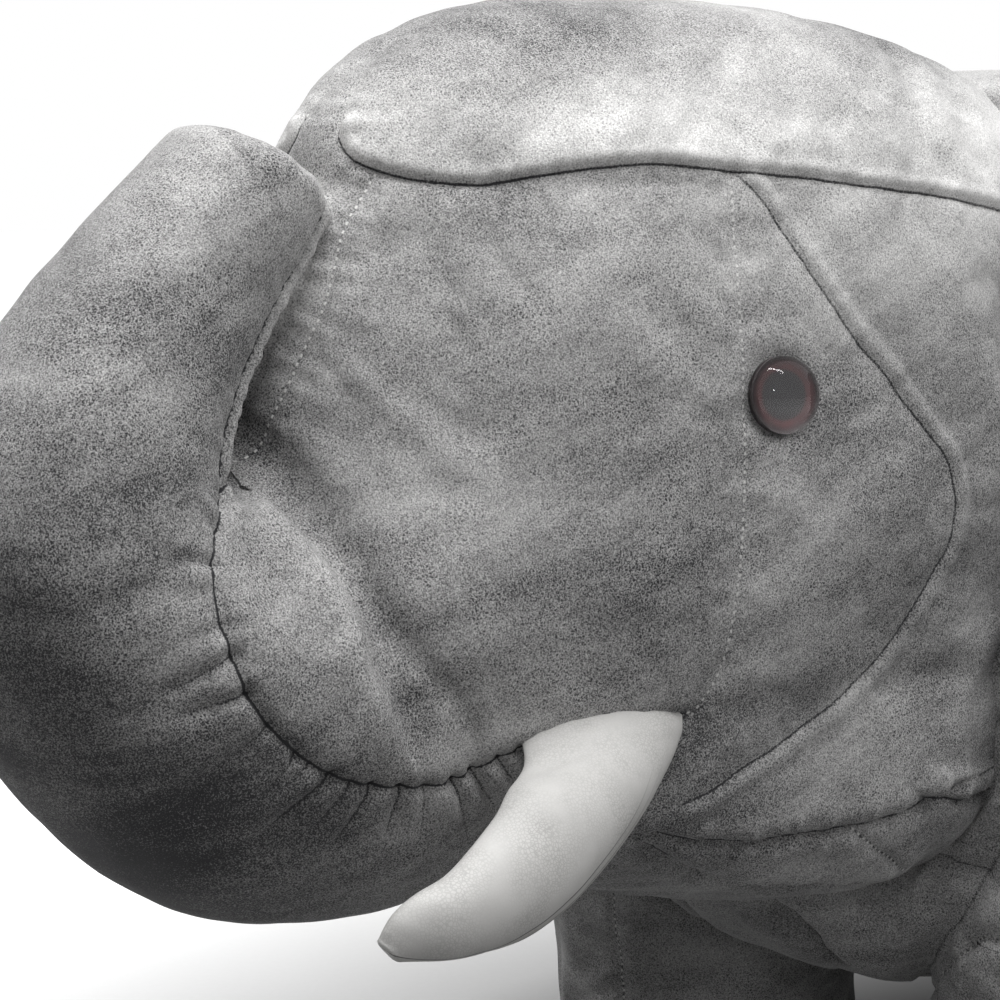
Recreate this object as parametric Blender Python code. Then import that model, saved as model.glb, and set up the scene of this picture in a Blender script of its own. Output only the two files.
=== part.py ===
"""Elephant footstool: a timber stool frame, foam and stuffing, and a sewn cover of many panels.

The elephant faces -Y and stands on Z = 0. Its left side is +X. Sizes are in metres.
"""

import math

import bmesh
import bpy
from mathutils import Matrix, Vector

MM = 0.001

# Fits and sheet stock
GAP = 0.3 * MM
COVER = 1.2 * MM
SEAM_GAP = 0.5 * MM

# Body barrel, measured on the foam
BODY_FRONT = -88 * MM
BODY_REAR = 340 * MM
BODY_WIDTH = 300 * MM
BODY_TOP = 390 * MM
BODY_BOTTOM = 89 * MM
BODY_POWER = 2.4
CHEST_DOME = 148 * MM
CHEST_HEIGHT = 168 * MM
CHEST_POWER = 2.8
CHEST_TAPER = 1.6
RUMP_DOME = 120 * MM
RUMP_HEIGHT = 285 * MM
RUMP_POWER = 2.4
RUMP_TAPER = 1.0

# Head, measured on the stuffing: height, half width, front, widest place, rear
HEAD_LEVELS = [
    (212 * MM, 91 * MM, -296 * MM, -72 * MM, 20 * MM),
    (240 * MM, 95 * MM, -299 * MM, -70 * MM, 20 * MM),
    (278 * MM, 96 * MM, -279 * MM, -65 * MM, 20 * MM),
    (320 * MM, 92 * MM, -262 * MM, -65 * MM, 20 * MM),
    (360 * MM, 83 * MM, -241 * MM, -65 * MM, 20 * MM),
]
HEAD_TOP = 409 * MM
HEAD_TOP_Y = -150 * MM
HEAD_BOTTOM = 138 * MM
HEAD_BOTTOM_Y = -95 * MM
HEAD_CROWN_POWER = 2.0
HEAD_JAW_POWER = 4.0
HEAD_CHIN_POWER = 1.4
FOREHEAD_HALF_WIDTH = 16 * MM
# Seams on the side of the head: height, place along Y
EYE_SEAM = [(158 * MM, -185 * MM), (200 * MM, -176 * MM), (232 * MM, -154 * MM), (262 * MM, -150 * MM),
            (360 * MM, -150 * MM)]
CHEEK_SEAM = [(158 * MM, -175 * MM), (184 * MM, -163 * MM), (215 * MM, -106 * MM), (255 * MM, -75 * MM),
              (276 * MM, -75 * MM), (319 * MM, -106 * MM), (360 * MM, -140 * MM)]
SEAM_SPREAD = math.radians(4)
NAPE_TURN = math.radians(130)

# Trunk in side view: outer line, inner line, half width
TRUNK_STATIONS = [
    ((-150 * MM, 170 * MM), (-150 * MM, 276 * MM), 70 * MM),
    ((-205 * MM, 158 * MM), (-205 * MM, 280 * MM), 65 * MM),
    ((-250 * MM, 152 * MM), (-252 * MM, 281 * MM), 61 * MM),
    ((-290 * MM, 162 * MM), (-268 * MM, 279 * MM), 56 * MM),
    ((-324 * MM, 188 * MM), (-275 * MM, 278 * MM), 51 * MM),
    ((-347 * MM, 221 * MM), (-279 * MM, 279 * MM), 46 * MM),
    ((-358 * MM, 257 * MM), (-281 * MM, 281 * MM), 42 * MM),
    ((-352 * MM, 291 * MM), (-281 * MM, 286 * MM), 38 * MM),
    ((-335 * MM, 320 * MM), (-277 * MM, 297 * MM), 34 * MM),
    ((-312 * MM, 345 * MM), (-267 * MM, 314 * MM), 30 * MM),
    ((-291 * MM, 362 * MM), (-254 * MM, 335 * MM), 26 * MM),
    ((-279 * MM, 371 * MM), (-246 * MM, 349 * MM), 22 * MM),
]
TRUNK_TIP_CROWN = 5 * MM

# Legs and what they stand on
LEG_X = 96 * MM
LEG_FRONT_Y = 10 * MM
LEG_REAR_Y = 258 * MM
LEG_FOOT_RADIUS = 58 * MM
LEG_SHIN_RADIUS = 53 * MM
LEG_THIGH_RADIUS = 62 * MM
LEG_FOOT_HEIGHT = 22 * MM
LEG_SHIN_HEIGHT = 52 * MM
LEG_THIGH_HEIGHT = 112 * MM
LEG_HAUNCH_HEIGHT = 228 * MM
LEG_HAUNCH_POWER = 2.2
LEG_TOE_ROUND = 6 * MM
SOLE = 1.7 * MM
GLIDE_RADIUS = 13 * MM
GLIDE_HEIGHT = 4 * MM
GLIDE_EDGE = 1.5 * MM
GLIDE_NAIL_RADIUS = 1.5 * MM
GLIDE_NAIL_LENGTH = 18 * MM
GLIDE_NAIL_POINT = 4 * MM
GLIDE_NAIL_TIP_RADIUS = 0.5 * MM

# Timber frame
POST = 32 * MM
RAIL_THICKNESS = 20 * MM
RAIL_HEIGHT = 60 * MM
BOARD_THICKNESS = 12 * MM
BOARD_OVERHANG = 14 * MM
SEAT_FOAM_DEPTH = 74 * MM
BELLY_FOAM_DEPTH = 50 * MM
NECK_BOARD = 15 * MM
NECK_BOARD_HEIGHT = 55 * MM
NECK_BOARD_REACH = 160 * MM
TENON_THICKNESS = 9 * MM
TENON_LENGTH = 10 * MM
TENON_SHOULDER = 10 * MM
PEG_RADIUS = 8 * MM

# Eyes
EYE_HEIGHT = 300 * MM
EYE_Y = -144 * MM
EYE_RADIUS = 11 * MM
EYE_DOME = 8.5 * MM
EYE_RIM = 1.5 * MM
EYE_SHANK_RADIUS = 2.5 * MM
EYE_SHANK_LENGTH = 16 * MM
WASHER_RADIUS = 9 * MM
WASHER = 1.5 * MM

# Tusks: root place on the head, then left-side stations as steps from it, half width, half thickness
TUSK_ROOT_HEIGHT = 208 * MM
TUSK_ROOT_Y = -197 * MM
TUSK_STATIONS = [
    ((-14 * MM, 2 * MM, 7 * MM), 30 * MM, 11 * MM),
    ((2 * MM, -5 * MM, -8 * MM), 26 * MM, 12 * MM),
    ((9 * MM, -15 * MM, -19 * MM), 21 * MM, 11.5 * MM),
    ((14 * MM, -33 * MM, -30 * MM), 15.5 * MM, 10 * MM),
    ((16 * MM, -56 * MM, -37 * MM), 10.5 * MM, 8 * MM),
    ((15 * MM, -82 * MM, -40 * MM), 5 * MM, 5 * MM),
]
TUSK_TIP_CROWN = 2 * MM

# Ears: the line beside the head on which an ear turns, then the flap as (reach, height) points from it
EAR_ROOT_LOW = 182 * MM
EAR_ROOT_HIGH = 340 * MM
EAR_ROOT_LOW_Y = -60 * MM
EAR_ROOT_HIGH_Y = -48 * MM
EAR_OUTLINE = [
    (-15 * MM, 2 * MM), (6 * MM, 15 * MM), (40 * MM, 33 * MM), (80 * MM, 58 * MM), (114 * MM, 96 * MM),
    (128 * MM, 138 * MM), (110 * MM, 177 * MM), (66 * MM, 192 * MM), (24 * MM, 183 * MM), (-9 * MM, 160 * MM),
    (-4 * MM, 134 * MM), (0 * MM, 96 * MM), (-2 * MM, 56 * MM), (-8 * MM, 20 * MM),
]
EAR_THICKNESS = 12 * MM
EAR_EDGE = 4 * MM
# Rings of the flap: share of the outline, share of the thickness
EAR_RINGS = ((0.4, 1.0), (0.75, 0.88), (0.94, 0.6))
EAR_SWEEP = math.radians(60)
EAR_CUP = 10 * MM
EAR_SWING = [math.radians(angle) for angle in (-8, 0, 15, 30)]

# Tail: sewn on where the rump stands furthest back
TAIL_RADIUS = 8 * MM
TAIL_TIP_RADIUS = 5 * MM
TAIL_LENGTH = 130 * MM
TUFT_RADIUS = 12 * MM
TUFT_LENGTH = 52 * MM
# Rings of the tuft: share of its radius, share of its length
TUFT_RINGS = ((0.5, 0.06), (0.85, 0.25), (1.0, 0.5), (0.8, 0.75), (0.4, 0.95))

# Faces around each form, and where its rows and columns lie
BODY_AROUND = 28
LEG_AROUND = 16
TRUNK_AROUND = 16
TUSK_AROUND = 12
TAIL_AROUND = 12
PEG_AROUND = 12
DOME_ROWS = (0.985, 0.9, 0.74, 0.52, 0.26)
SMALL_DOME_ROWS = (0.985, 0.88, 0.64, 0.32)
BARREL_ROWS = (0.0, 0.35, 0.7, 1.0)
HEAD_SIDE_ROWS = 7
JAW_PANEL_ROWS = 3
STRIP_COLUMNS = 1
FACE_COLUMNS = 5
EYE_COLUMNS = 3
CHEEK_COLUMNS = 4
NAPE_COLUMNS = 2
GUSSET_COLUMNS = 1
EAR_POINTS_BETWEEN = 1
EYE_DOME_TURNS = [math.radians(angle) for angle in (0, 20, 40, 60, 78)]
SHARP_ANGLE = math.radians(40)
BACK_HALF_COLUMNS = 3
CHEST_PANEL_ROWS = 4
RUMP_PANEL_ROWS = 4

ROOT_NAME = "footstool"
SIDES = (("left", 1), ("right", -1))
ENDS = (("front", LEG_FRONT_Y), ("rear", LEG_REAR_Y))

COLOURS = {
    "suede": ((0.24, 0.24, 0.245), 0.85, 0.0),
    "tusk": ((0.72, 0.71, 0.68), 0.5, 0.0),
    "foam": ((0.75, 0.70, 0.52), 0.95, 0.0),
    "fibre": ((0.80, 0.80, 0.80), 0.95, 0.0),
    "timber": ((0.55, 0.38, 0.20), 0.7, 0.0),
    "plywood": ((0.62, 0.46, 0.27), 0.7, 0.0),
    "eye": ((0.035, 0.008, 0.008), 0.08, 0.0),
    "nylon": ((0.05, 0.05, 0.055), 0.5, 0.0),
}


# Scene helpers


def clear_scene():
    """Remove every object, so that the model starts from nothing."""
    for old in list(bpy.data.objects):
        bpy.data.objects.remove(old)


def material(name):
    """The named material, made once from its colour, roughness and metallic value."""
    made = bpy.data.materials.get(name)
    if made:
        return made
    colour, roughness, metallic = COLOURS[name]
    made = bpy.data.materials.new(name)
    made.use_nodes = True
    shader = made.node_tree.nodes["Principled BSDF"]
    shader.inputs["Base Color"].default_value = (*colour, 1.0)
    shader.inputs["Roughness"].default_value = roughness
    shader.inputs["Metallic"].default_value = metallic
    return made


def add_empty(name, place=(0, 0, 0), parent=None):
    """An empty that pieces hang on."""
    made = bpy.data.objects.new(name, None)
    bpy.context.scene.collection.objects.link(made)
    made.location = place
    made.parent = parent
    return made


def add_object(name, points, faces, finish=None, smooth=True, pivot=None):
    """A mesh object on the root empty, or on a pivot empty; without a finish it is a hidden cutter."""
    mesh = bpy.data.meshes.new(name)
    origin = pivot.location if pivot else Vector()
    mesh.from_pydata([Vector(p) - origin for p in points], [], faces)
    face_out(mesh)
    made = bpy.data.objects.new(name, mesh)
    bpy.context.scene.collection.objects.link(made)
    made.parent = pivot or bpy.data.objects[ROOT_NAME]
    if finish:
        mesh.materials.append(material(finish))
        if smooth:
            mesh.shade_smooth()
            mesh.set_sharp_from_angle(angle=SHARP_ANGLE)
    else:
        made.hide_render = True
        made.display_type = "WIRE"
    return made


def face_out(mesh):
    """Turn every face of a closed mesh to point out."""
    shape = bmesh.new()
    shape.from_mesh(mesh)
    bmesh.ops.recalc_face_normals(shape, faces=shape.faces)
    if shape.calc_volume(signed=True) < 0:
        bmesh.ops.reverse_faces(shape, faces=shape.faces)
    shape.to_mesh(mesh)
    shape.free()


def combine(target, others, operation="DIFFERENCE"):
    """Boolean modifiers that cut others out of target, join them to it, or keep what it shares with them."""
    for other in others:
        step = target.modifiers.new(other.name, "BOOLEAN")
        step.operation = operation
        step.object = other
    return target


# Shapes


def box_points(low, high):
    """Points and faces of a box between two corners."""
    spans = list(zip(low, high))
    points = [Vector((x, y, z)) for x in spans[0] for y in spans[1] for z in spans[2]]
    faces = [(0, 1, 3, 2), (4, 6, 7, 5), (0, 4, 5, 1), (2, 3, 7, 6), (0, 2, 6, 4), (1, 5, 7, 3)]
    return points, faces


def box(name, low, high, finish=None):
    """A box object between two corners."""
    return add_object(name, *box_points(low, high), finish, smooth=False)


def turned(profile, around, place):
    """Points and faces of a solid turned about +Z from (radius, height) pairs, then placed by a matrix."""
    points, rings = [], []
    for radius, height in profile:
        rings.append(len(points))
        for step in range(around):
            turn = math.tau * step / around
            points.append(place @ Vector((radius * math.cos(turn), radius * math.sin(turn), height)))
    faces = [tuple(range(rings[0], rings[0] + around)), tuple(range(rings[-1], rings[-1] + around))]
    for low, high in zip(rings, rings[1:]):
        for step in range(around):
            after = (step + 1) % around
            faces.append((low + step, low + after, high + after, high + step))
    return points, faces


def merged(parts):
    """Several (points, faces) pairs as one pair of separate bodies."""
    points, faces = [], []
    for part_points, part_faces in parts:
        start = len(points)
        points.extend(part_points)
        faces.extend(tuple(start + index for index in face) for face in part_faces)
    return points, faces


def aim(point, direction):
    """A matrix that puts local +Z along direction at point."""
    return Matrix.Translation(point) @ Vector(direction).to_track_quat("Z", "Y").to_matrix().to_4x4()


def superellipse(turn, power):
    """A point of the unit superellipse, as (cosine side, sine side)."""
    cosine, sine = math.cos(turn), math.sin(turn)
    bend = 2 / power
    return math.copysign(abs(cosine) ** bend, cosine), math.copysign(abs(sine) ** bend, sine)


def dome(share, power):
    """Half width of a unit superellipse dome at a share of its height."""
    return max(0.0, 1 - min(1.0, abs(share)) ** power) ** (1 / power)


def curve_value(table, at):
    """Smooth value of a table of (place, value) pairs, held beyond its ends."""
    if at <= table[0][0]:
        return table[0][1]
    if at >= table[-1][0]:
        return table[-1][1]
    index = max(i for i, row in enumerate(table) if row[0] <= at)
    before, after = table[index], table[index + 1]

    def slope(i):
        low, high = table[max(i - 1, 0)], table[min(i + 1, len(table) - 1)]
        return (high[1] - low[1]) / (high[0] - low[0])

    span = after[0] - before[0]
    t = (at - before[0]) / span
    start, end = span * slope(index), span * slope(index + 1)
    bend = (t**3 - 2 * t**2 + t) * start + (t**3 - t**2) * end
    return before[1] + (after[1] - before[1]) * t * t * (3 - 2 * t) + bend


def closed_curve(points, between):
    """A smooth closed curve through points, with steps between each pair."""
    count = len(points)
    curve = []
    for index in range(count):
        a, b, c, d = (Vector(points[(index + k) % count]) for k in (-1, 0, 1, 2))
        for step in range(between + 1):
            t = step / (between + 1)
            pull = (c - a) * t + (2 * a - 5 * b + 4 * c - d) * t**2 + (3 * b - a - 3 * c + d) * t**3
            curve.append(b + pull / 2)
    return curve


class Form:
    """A closed padded surface: rings of points between a start pole and an end pole.

    Row 0 is the fan at the start pole, and the last row is the fan at the end pole.
    """

    def __init__(self, start, rings, end):
        self.around = len(rings[0])
        self.rows = len(rings)
        self.points = [Vector(start)] + [Vector(p) for ring in rings for p in ring] + [Vector(end)]
        self.cells = {}
        last = len(self.points) - 1
        for col in range(self.around):
            after = (col + 1) % self.around
            self.cells[(0, col)] = [(0, 1 + after, 1 + col)]
            for row in range(1, self.rows):
                low, high = 1 + (row - 1) * self.around, 1 + row * self.around
                a, b, c, d = low + col, low + after, high + after, high + col
                self.cells[(row, col)] = [(a, b, c), (a, c, d)]
            low = 1 + (self.rows - 1) * self.around
            self.cells[(self.rows, col)] = [(last, low + col, low + after)]
        self.normals = self._normals()

    def _normals(self):
        """Outward normals at the points."""
        sums = [Vector() for _ in self.points]
        volume = 0.0
        for face in self.faces(self.cells):
            a, b, c = (self.points[i] for i in face)
            volume += a.dot(b.cross(c))
            for index in face:
                sums[index] += (b - a).cross(c - a)
        sign = 1 if volume > 0 else -1
        return [sign * total.normalized() for total in sums]

    def faces(self, chosen):
        """The triangles of the chosen cells."""
        return [face for key in sorted(chosen) for face in self.cells[key]]

    def block(self, rows, columns):
        """The cells of a run of rows and columns; columns wrap round."""
        return {(row, col % self.around) for row in rows for col in columns}

    def solid(self, name, offset=0.0, finish=None, pivot=None):
        """The whole form as one object, grown by offset."""
        points = [point + normal * offset for point, normal in zip(self.points, self.normals)]
        return add_object(name, points, self.faces(self.cells), finish, pivot=pivot)

    def panel(self, name, chosen, finish):
        """A sewn panel over the chosen cells: a shell that lies a gap off the form."""
        skin = self.faces(chosen)
        edges = {}
        for face in skin:
            for first, second in zip(face, face[1:] + face[:1]):
                edges[(first, second)] = face
        rim = {edge: face for edge, face in edges.items() if edge[::-1] not in edges}
        inset = self._inset(rim)
        used = sorted({index for face in skin for index in face})
        place = {index: order for order, index in enumerate(used)}
        count = len(used)
        points = []
        for offset in (GAP, GAP + COVER):
            points += [self.points[i] + self.normals[i] * offset + inset.get(i, Vector()) for i in used]
        faces = [tuple(place[i] for i in reversed(face)) for face in skin]
        faces += [tuple(place[i] + count for i in face) for face in skin]
        for first, second in rim:
            a, b = place[first], place[second]
            faces.append((a, b, b + count, a + count))
        return add_object(name, points, faces, finish)

    def _inset(self, rim):
        """How far each rim point moves into its panel, so that neighbours keep the seam gap."""
        sums = {}
        for (first, second), face in rim.items():
            along = self.points[second] - self.points[first]
            middle = sum((self.points[i] for i in face), Vector()) / len(face)
            inward = middle - self.points[first]
            inward = (inward - along * inward.dot(along) / along.length_squared).normalized()
            for index in (first, second):
                sums[index] = sums.get(index, Vector()) + inward
        return {index: total.normalized() * SEAM_GAP / 2 for index, total in sums.items()}


# Body


def body_centre():
    """Height of the barrel's axis."""
    return (BODY_TOP + BODY_BOTTOM) / 2


def body_form():
    """The barrel: superellipse sections along Y between a chest dome and a rump dome."""
    chest, rump = BODY_FRONT + CHEST_DOME, BODY_REAR - RUMP_DOME
    stations = [(chest - CHEST_DOME * share, dome(share, CHEST_POWER), CHEST_HEIGHT, CHEST_TAPER)
                for share in DOME_ROWS]
    stations += [(chest + (rump - chest) * share, 1.0, body_centre(), 1.0) for share in BARREL_ROWS]
    stations += [(rump + RUMP_DOME * share, dome(share, RUMP_POWER), RUMP_HEIGHT, RUMP_TAPER)
                 for share in reversed(DOME_ROWS)]
    rings = []
    for y, scale, pole, taper in stations:
        middle = pole + (body_centre() - pole) * scale
        half_width, half_height = BODY_WIDTH / 2 * scale**taper, (BODY_TOP - BODY_BOTTOM) / 2 * scale
        ring = []
        for step in range(BODY_AROUND):
            up, side = superellipse(math.tau * step / BODY_AROUND, BODY_POWER)
            ring.append((side * half_width, y, middle + up * half_height))
        rings.append(ring)
    return Form((0, BODY_FRONT, CHEST_HEIGHT), rings, (0, BODY_REAR, RUMP_HEIGHT))


# Head


def head_section(z):
    """Half width, front, widest place and rear of the head at a height."""
    low, high = HEAD_LEVELS[0], HEAD_LEVELS[-1]
    if low[0] <= z <= high[0]:
        columns = [[(row[0], row[column]) for row in HEAD_LEVELS] for column in range(1, len(low))]
        return tuple(curve_value(table, z) for table in columns)
    level, pole, pole_y, power, front_power = low, HEAD_BOTTOM, HEAD_BOTTOM_Y, HEAD_JAW_POWER, HEAD_CHIN_POWER
    if z > high[0]:
        level, pole, pole_y, power, front_power = high, HEAD_TOP, HEAD_TOP_Y, HEAD_CROWN_POWER, HEAD_CROWN_POWER
    share = (z - level[0]) / (pole - level[0])
    scale, front_scale = dome(share, power), dome(share, front_power)
    places = zip(level[2:], (front_scale, scale, scale))
    return level[1] * scale, *(pole_y + (value - pole_y) * part for value, part in places)


def head_point(turn, z):
    """A point of the head at a turn from the front, left side positive, and a height."""
    half, front, widest, rear = head_section(z)
    reach = widest - front if math.cos(turn) > 0 else rear - widest
    return Vector((half * math.sin(turn), widest - reach * math.cos(turn), z))


def head_turn(y, z):
    """The turn from the front at which the head's side passes a place along Y."""
    _, front, widest, rear = head_section(z)
    reach = widest - front if y < widest else rear - widest
    return math.acos(max(-1.0, min(1.0, (widest - y) / reach)))


def head_side(y, z, side):
    """A point of the head's side and the direction out of it."""
    turn = head_turn(y, z)
    here = head_point(turn, z)
    across = head_point(turn + SEAM_SPREAD, z) - here
    upward = head_point(turn, z + EYE_RADIUS) - here
    mirror = Vector((side, 1, 1))
    return here * mirror, across.cross(upward).normalized() * mirror


def head_columns(z):
    """Turns of the head's columns on the left side at a height, with the seams on columns."""
    level = min(max(z, HEAD_LEVELS[0][0]), HEAD_LEVELS[-1][0])
    strip = math.asin(FOREHEAD_HALF_WIDTH / head_section(level)[0])
    eye = head_turn(curve_value(EYE_SEAM, z), level)
    cheek = max(head_turn(curve_value(CHEEK_SEAM, z), level), eye + SEAM_SPREAD)
    marks = [(0.0, STRIP_COLUMNS), (strip, FACE_COLUMNS), (eye, EYE_COLUMNS), (cheek, CHEEK_COLUMNS),
             (NAPE_TURN, NAPE_COLUMNS), (math.pi, 0)]
    turns = []
    for (start, count), (end, _) in zip(marks, marks[1:]):
        turns += [start + (end - start) * step / count for step in range(count)]
    return turns


def head_form():
    """The head: rounded level sections between the underside of the jaw and the crown."""
    low, high = HEAD_LEVELS[0][0], HEAD_LEVELS[-1][0]
    heights = [low - (low - HEAD_BOTTOM) * share for share in SMALL_DOME_ROWS]
    heights += [low + (high - low) * step / (HEAD_SIDE_ROWS - 1) for step in range(HEAD_SIDE_ROWS)]
    heights += [high + (HEAD_TOP - high) * share for share in reversed(SMALL_DOME_ROWS)]
    rings = []
    for z in heights:
        turns = head_columns(z)
        ring = [head_point(turn, z) for turn in turns + [math.pi]]
        ring += [head_point(-turn, z) for turn in turns[:0:-1]]
        rings.append(ring)
    return Form((0, HEAD_BOTTOM_Y, HEAD_BOTTOM), rings, (0, HEAD_TOP_Y, HEAD_TOP))


# Trunk, tusks, ears and tail


def trunk_form():
    """The trunk: rings between an outer and an inner line, from inside the head to the raised tip."""
    rings, centres = [], []
    for outer, inner, half_width in TRUNK_STATIONS:
        outer_point, inner_point = Vector((0, *outer)), Vector((0, *inner))
        middle, reach = (outer_point + inner_point) / 2, (inner_point - outer_point) / 2
        turns = [math.tau * (step + 0.5) / TRUNK_AROUND for step in range(TRUNK_AROUND)]
        width = Vector((half_width, 0, 0))
        rings.append([middle + reach * math.cos(turn) + width * math.sin(turn) for turn in turns])
        centres.append(middle)
    return Form(centres[0], rings, beyond(centres, TRUNK_TIP_CROWN))


def beyond(centres, crown):
    """The pole that lies a crown's height past the last centre."""
    return centres[-1] + (centres[-1] - centres[-2]).normalized() * crown


def tusk_form(side):
    """A stuffed tusk: flat oval sections along its centre line, with a blunt end."""
    root, out = head_side(TUSK_ROOT_Y, TUSK_ROOT_HEIGHT, side)
    centres = [root + Vector((side * x, y, z)) for (x, y, z), _, _ in TUSK_STATIONS]
    rings = []
    for index, (_, half, thin) in enumerate(TUSK_STATIONS):
        ahead = centres[min(index + 1, len(centres) - 1)] - centres[max(index - 1, 0)]
        across = (out - ahead * out.dot(ahead) / ahead.length_squared).normalized()
        width = ahead.cross(across).normalized()
        turns = [math.tau * step / TUSK_AROUND for step in range(TUSK_AROUND)]
        oval = [width * half * math.cos(turn) + across * thin * math.sin(turn) for turn in turns]
        rings.append([centres[index] + step for step in oval])
    return Form(centres[0], rings, beyond(centres, TUSK_TIP_CROWN))


def ear_root(side):
    """The two ends of the line on which an ear turns: it passes the head where the head is widest."""
    x = max(level[1] for level in HEAD_LEVELS) + GAP + COVER + GAP + EAR_EDGE / 2
    ends = ((EAR_ROOT_LOW_Y, EAR_ROOT_LOW), (EAR_ROOT_HIGH_Y, EAR_ROOT_HIGH))
    return [Vector((side * x, y, z)) for y, z in ends]


def swung(form, name, side):
    """Cutters that clear an ear's root of a form through the ear's whole swing, forwards positive."""
    low, high = ear_root(side)
    place, axis = Matrix.Translation(low), (low - high) * side
    cutters = []
    for turn in EAR_SWING:
        cutter = form.solid(f"{name}_{len(cutters)}", GAP + COVER + GAP)
        cutter.matrix_basis = place @ Matrix.Rotation(-turn, 4, axis) @ place.inverted()
        cutters.append(cutter)
    return cutters


def ear_form(side):
    """An ear flap behind its root line: thick in the middle, thin at the rim, cupped towards the body."""
    low, high = ear_root(side)
    rise = (high - low).normalized()
    out = Vector((side * math.sin(EAR_SWEEP), math.cos(EAR_SWEEP), 0))
    out = (out - rise * out.dot(rise)).normalized()
    face = rise.cross(out)
    face = face if face.y < 0 else -face
    outline = closed_curve(EAR_OUTLINE, EAR_POINTS_BETWEEN)
    middle = sum(outline, Vector((0, 0))) / len(outline)
    reach = max(point.x for point in outline)

    def at(point, offset):
        cup = EAR_CUP * (point.x / reach) ** 2
        return low + out * point.x + rise * point.y + face * (offset - cup)

    front = [(share, EAR_THICKNESS * thick / 2) for share, thick in EAR_RINGS] + [(1.0, EAR_EDGE / 2)]
    layers = front + [(share, -offset) for share, offset in reversed(front)]
    rings = []
    for share, offset in layers:
        rings.append([at(middle + (point - middle) * share, offset) for point in outline])
    return Form(at(middle, EAR_THICKNESS / 2), rings, at(middle, -EAR_THICKNESS / 2))


def tail_line():
    """The line behind the rump on which the tail hangs, as its distance along Y."""
    return BODY_REAR + GAP + COVER + GAP + TAIL_RADIUS


def tail_forms():
    """The tail, which hangs from a round end that turns beside the rump, and the tuft at its end."""
    hang, low = tail_line(), RUMP_HEIGHT - TAIL_LENGTH
    around = [math.tau * step / TAIL_AROUND for step in range(TAIL_AROUND)]
    profile = [(TAIL_RADIUS * dome(share, 2), RUMP_HEIGHT + TAIL_RADIUS * share)
               for share in SMALL_DOME_ROWS]
    profile += [(TAIL_RADIUS + (TAIL_TIP_RADIUS - TAIL_RADIUS) * share, RUMP_HEIGHT - TAIL_LENGTH * share)
                for share in BARREL_ROWS]
    tuft_top = low - GAP
    swell = [(TUFT_RADIUS * share, tuft_top - TUFT_LENGTH * down) for share, down in TUFT_RINGS]

    def hung(top, rows, end):
        rings = [[(radius * math.cos(turn), hang + radius * math.sin(turn), z) for turn in around]
                 for radius, z in rows]
        return Form((0, hang, top), rings, (0, hang, end))

    return hung(RUMP_HEIGHT + TAIL_RADIUS, profile, low), hung(tuft_top, swell, tuft_top - TUFT_LENGTH)


# Frame


def frame_levels():
    """Heights of the seat board's top and underside, the rails' top and underside, and the posts' foot."""
    board_top = BODY_TOP - SEAT_FOAM_DEPTH
    board_under = board_top - BOARD_THICKNESS
    rail_high = board_under - GAP
    return board_top, board_under, rail_high, rail_high - RAIL_HEIGHT, GLIDE_HEIGHT + GAP + SOLE + GAP


def neck_low():
    """Height of the neck board's lower edge: its top is level with the top of the front rail."""
    return frame_levels()[2] - NECK_BOARD_HEIGHT


def bar(name, low, high, tenons, finish):
    """A timber bar between two corners, with tenons that run into it."""
    made = box(name, low, high, finish)
    tongues = merged(box_points(*ends) for ends in tenons)
    return combine(made, [add_object(f"{name}_tenons", *tongues)], "UNION")


def mortise(tenon):
    """The corners of the room for a tenon."""
    low, high = tenon
    return tuple(value - GAP for value in low), tuple(value + GAP for value in high)


def rail_runs():
    """Each rail as (name, low corner, high corner, tenons)."""
    _, _, top, under, _ = frame_levels()
    half, tongue = RAIL_THICKNESS / 2, TENON_THICKNESS / 2
    tenon_low, tenon_high = under + TENON_SHOULDER, top - TENON_SHOULDER
    inside = POST / 2 + GAP
    runs = []
    for side_name, side in SIDES:
        x, front, rear = side * LEG_X, LEG_FRONT_Y + inside, LEG_REAR_Y - inside
        tenons = [((x - tongue, end - TENON_LENGTH, tenon_low), (x + tongue, end + TENON_LENGTH, tenon_high))
                  for end in (front, rear)]
        runs.append((f"rail_{side_name}", (x - half, front, under), (x + half, rear, top), tenons))
    for end_name, y in ENDS:
        reach = LEG_X - inside
        tenons = [((end - TENON_LENGTH, y - tongue, tenon_low), (end + TENON_LENGTH, y + tongue, tenon_high))
                  for end in (-reach, reach)]
        runs.append((f"rail_{end_name}", (-reach, y - half, under), (reach, y + half, top), tenons))
    return runs


def leg_places():
    """Each leg as (name, matrix at its axis on the floor)."""
    return [(f"{end}_{side_name}", Matrix.Translation((side * LEG_X, y, 0)))
            for side_name, side in SIDES for end, y in ENDS]


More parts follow.
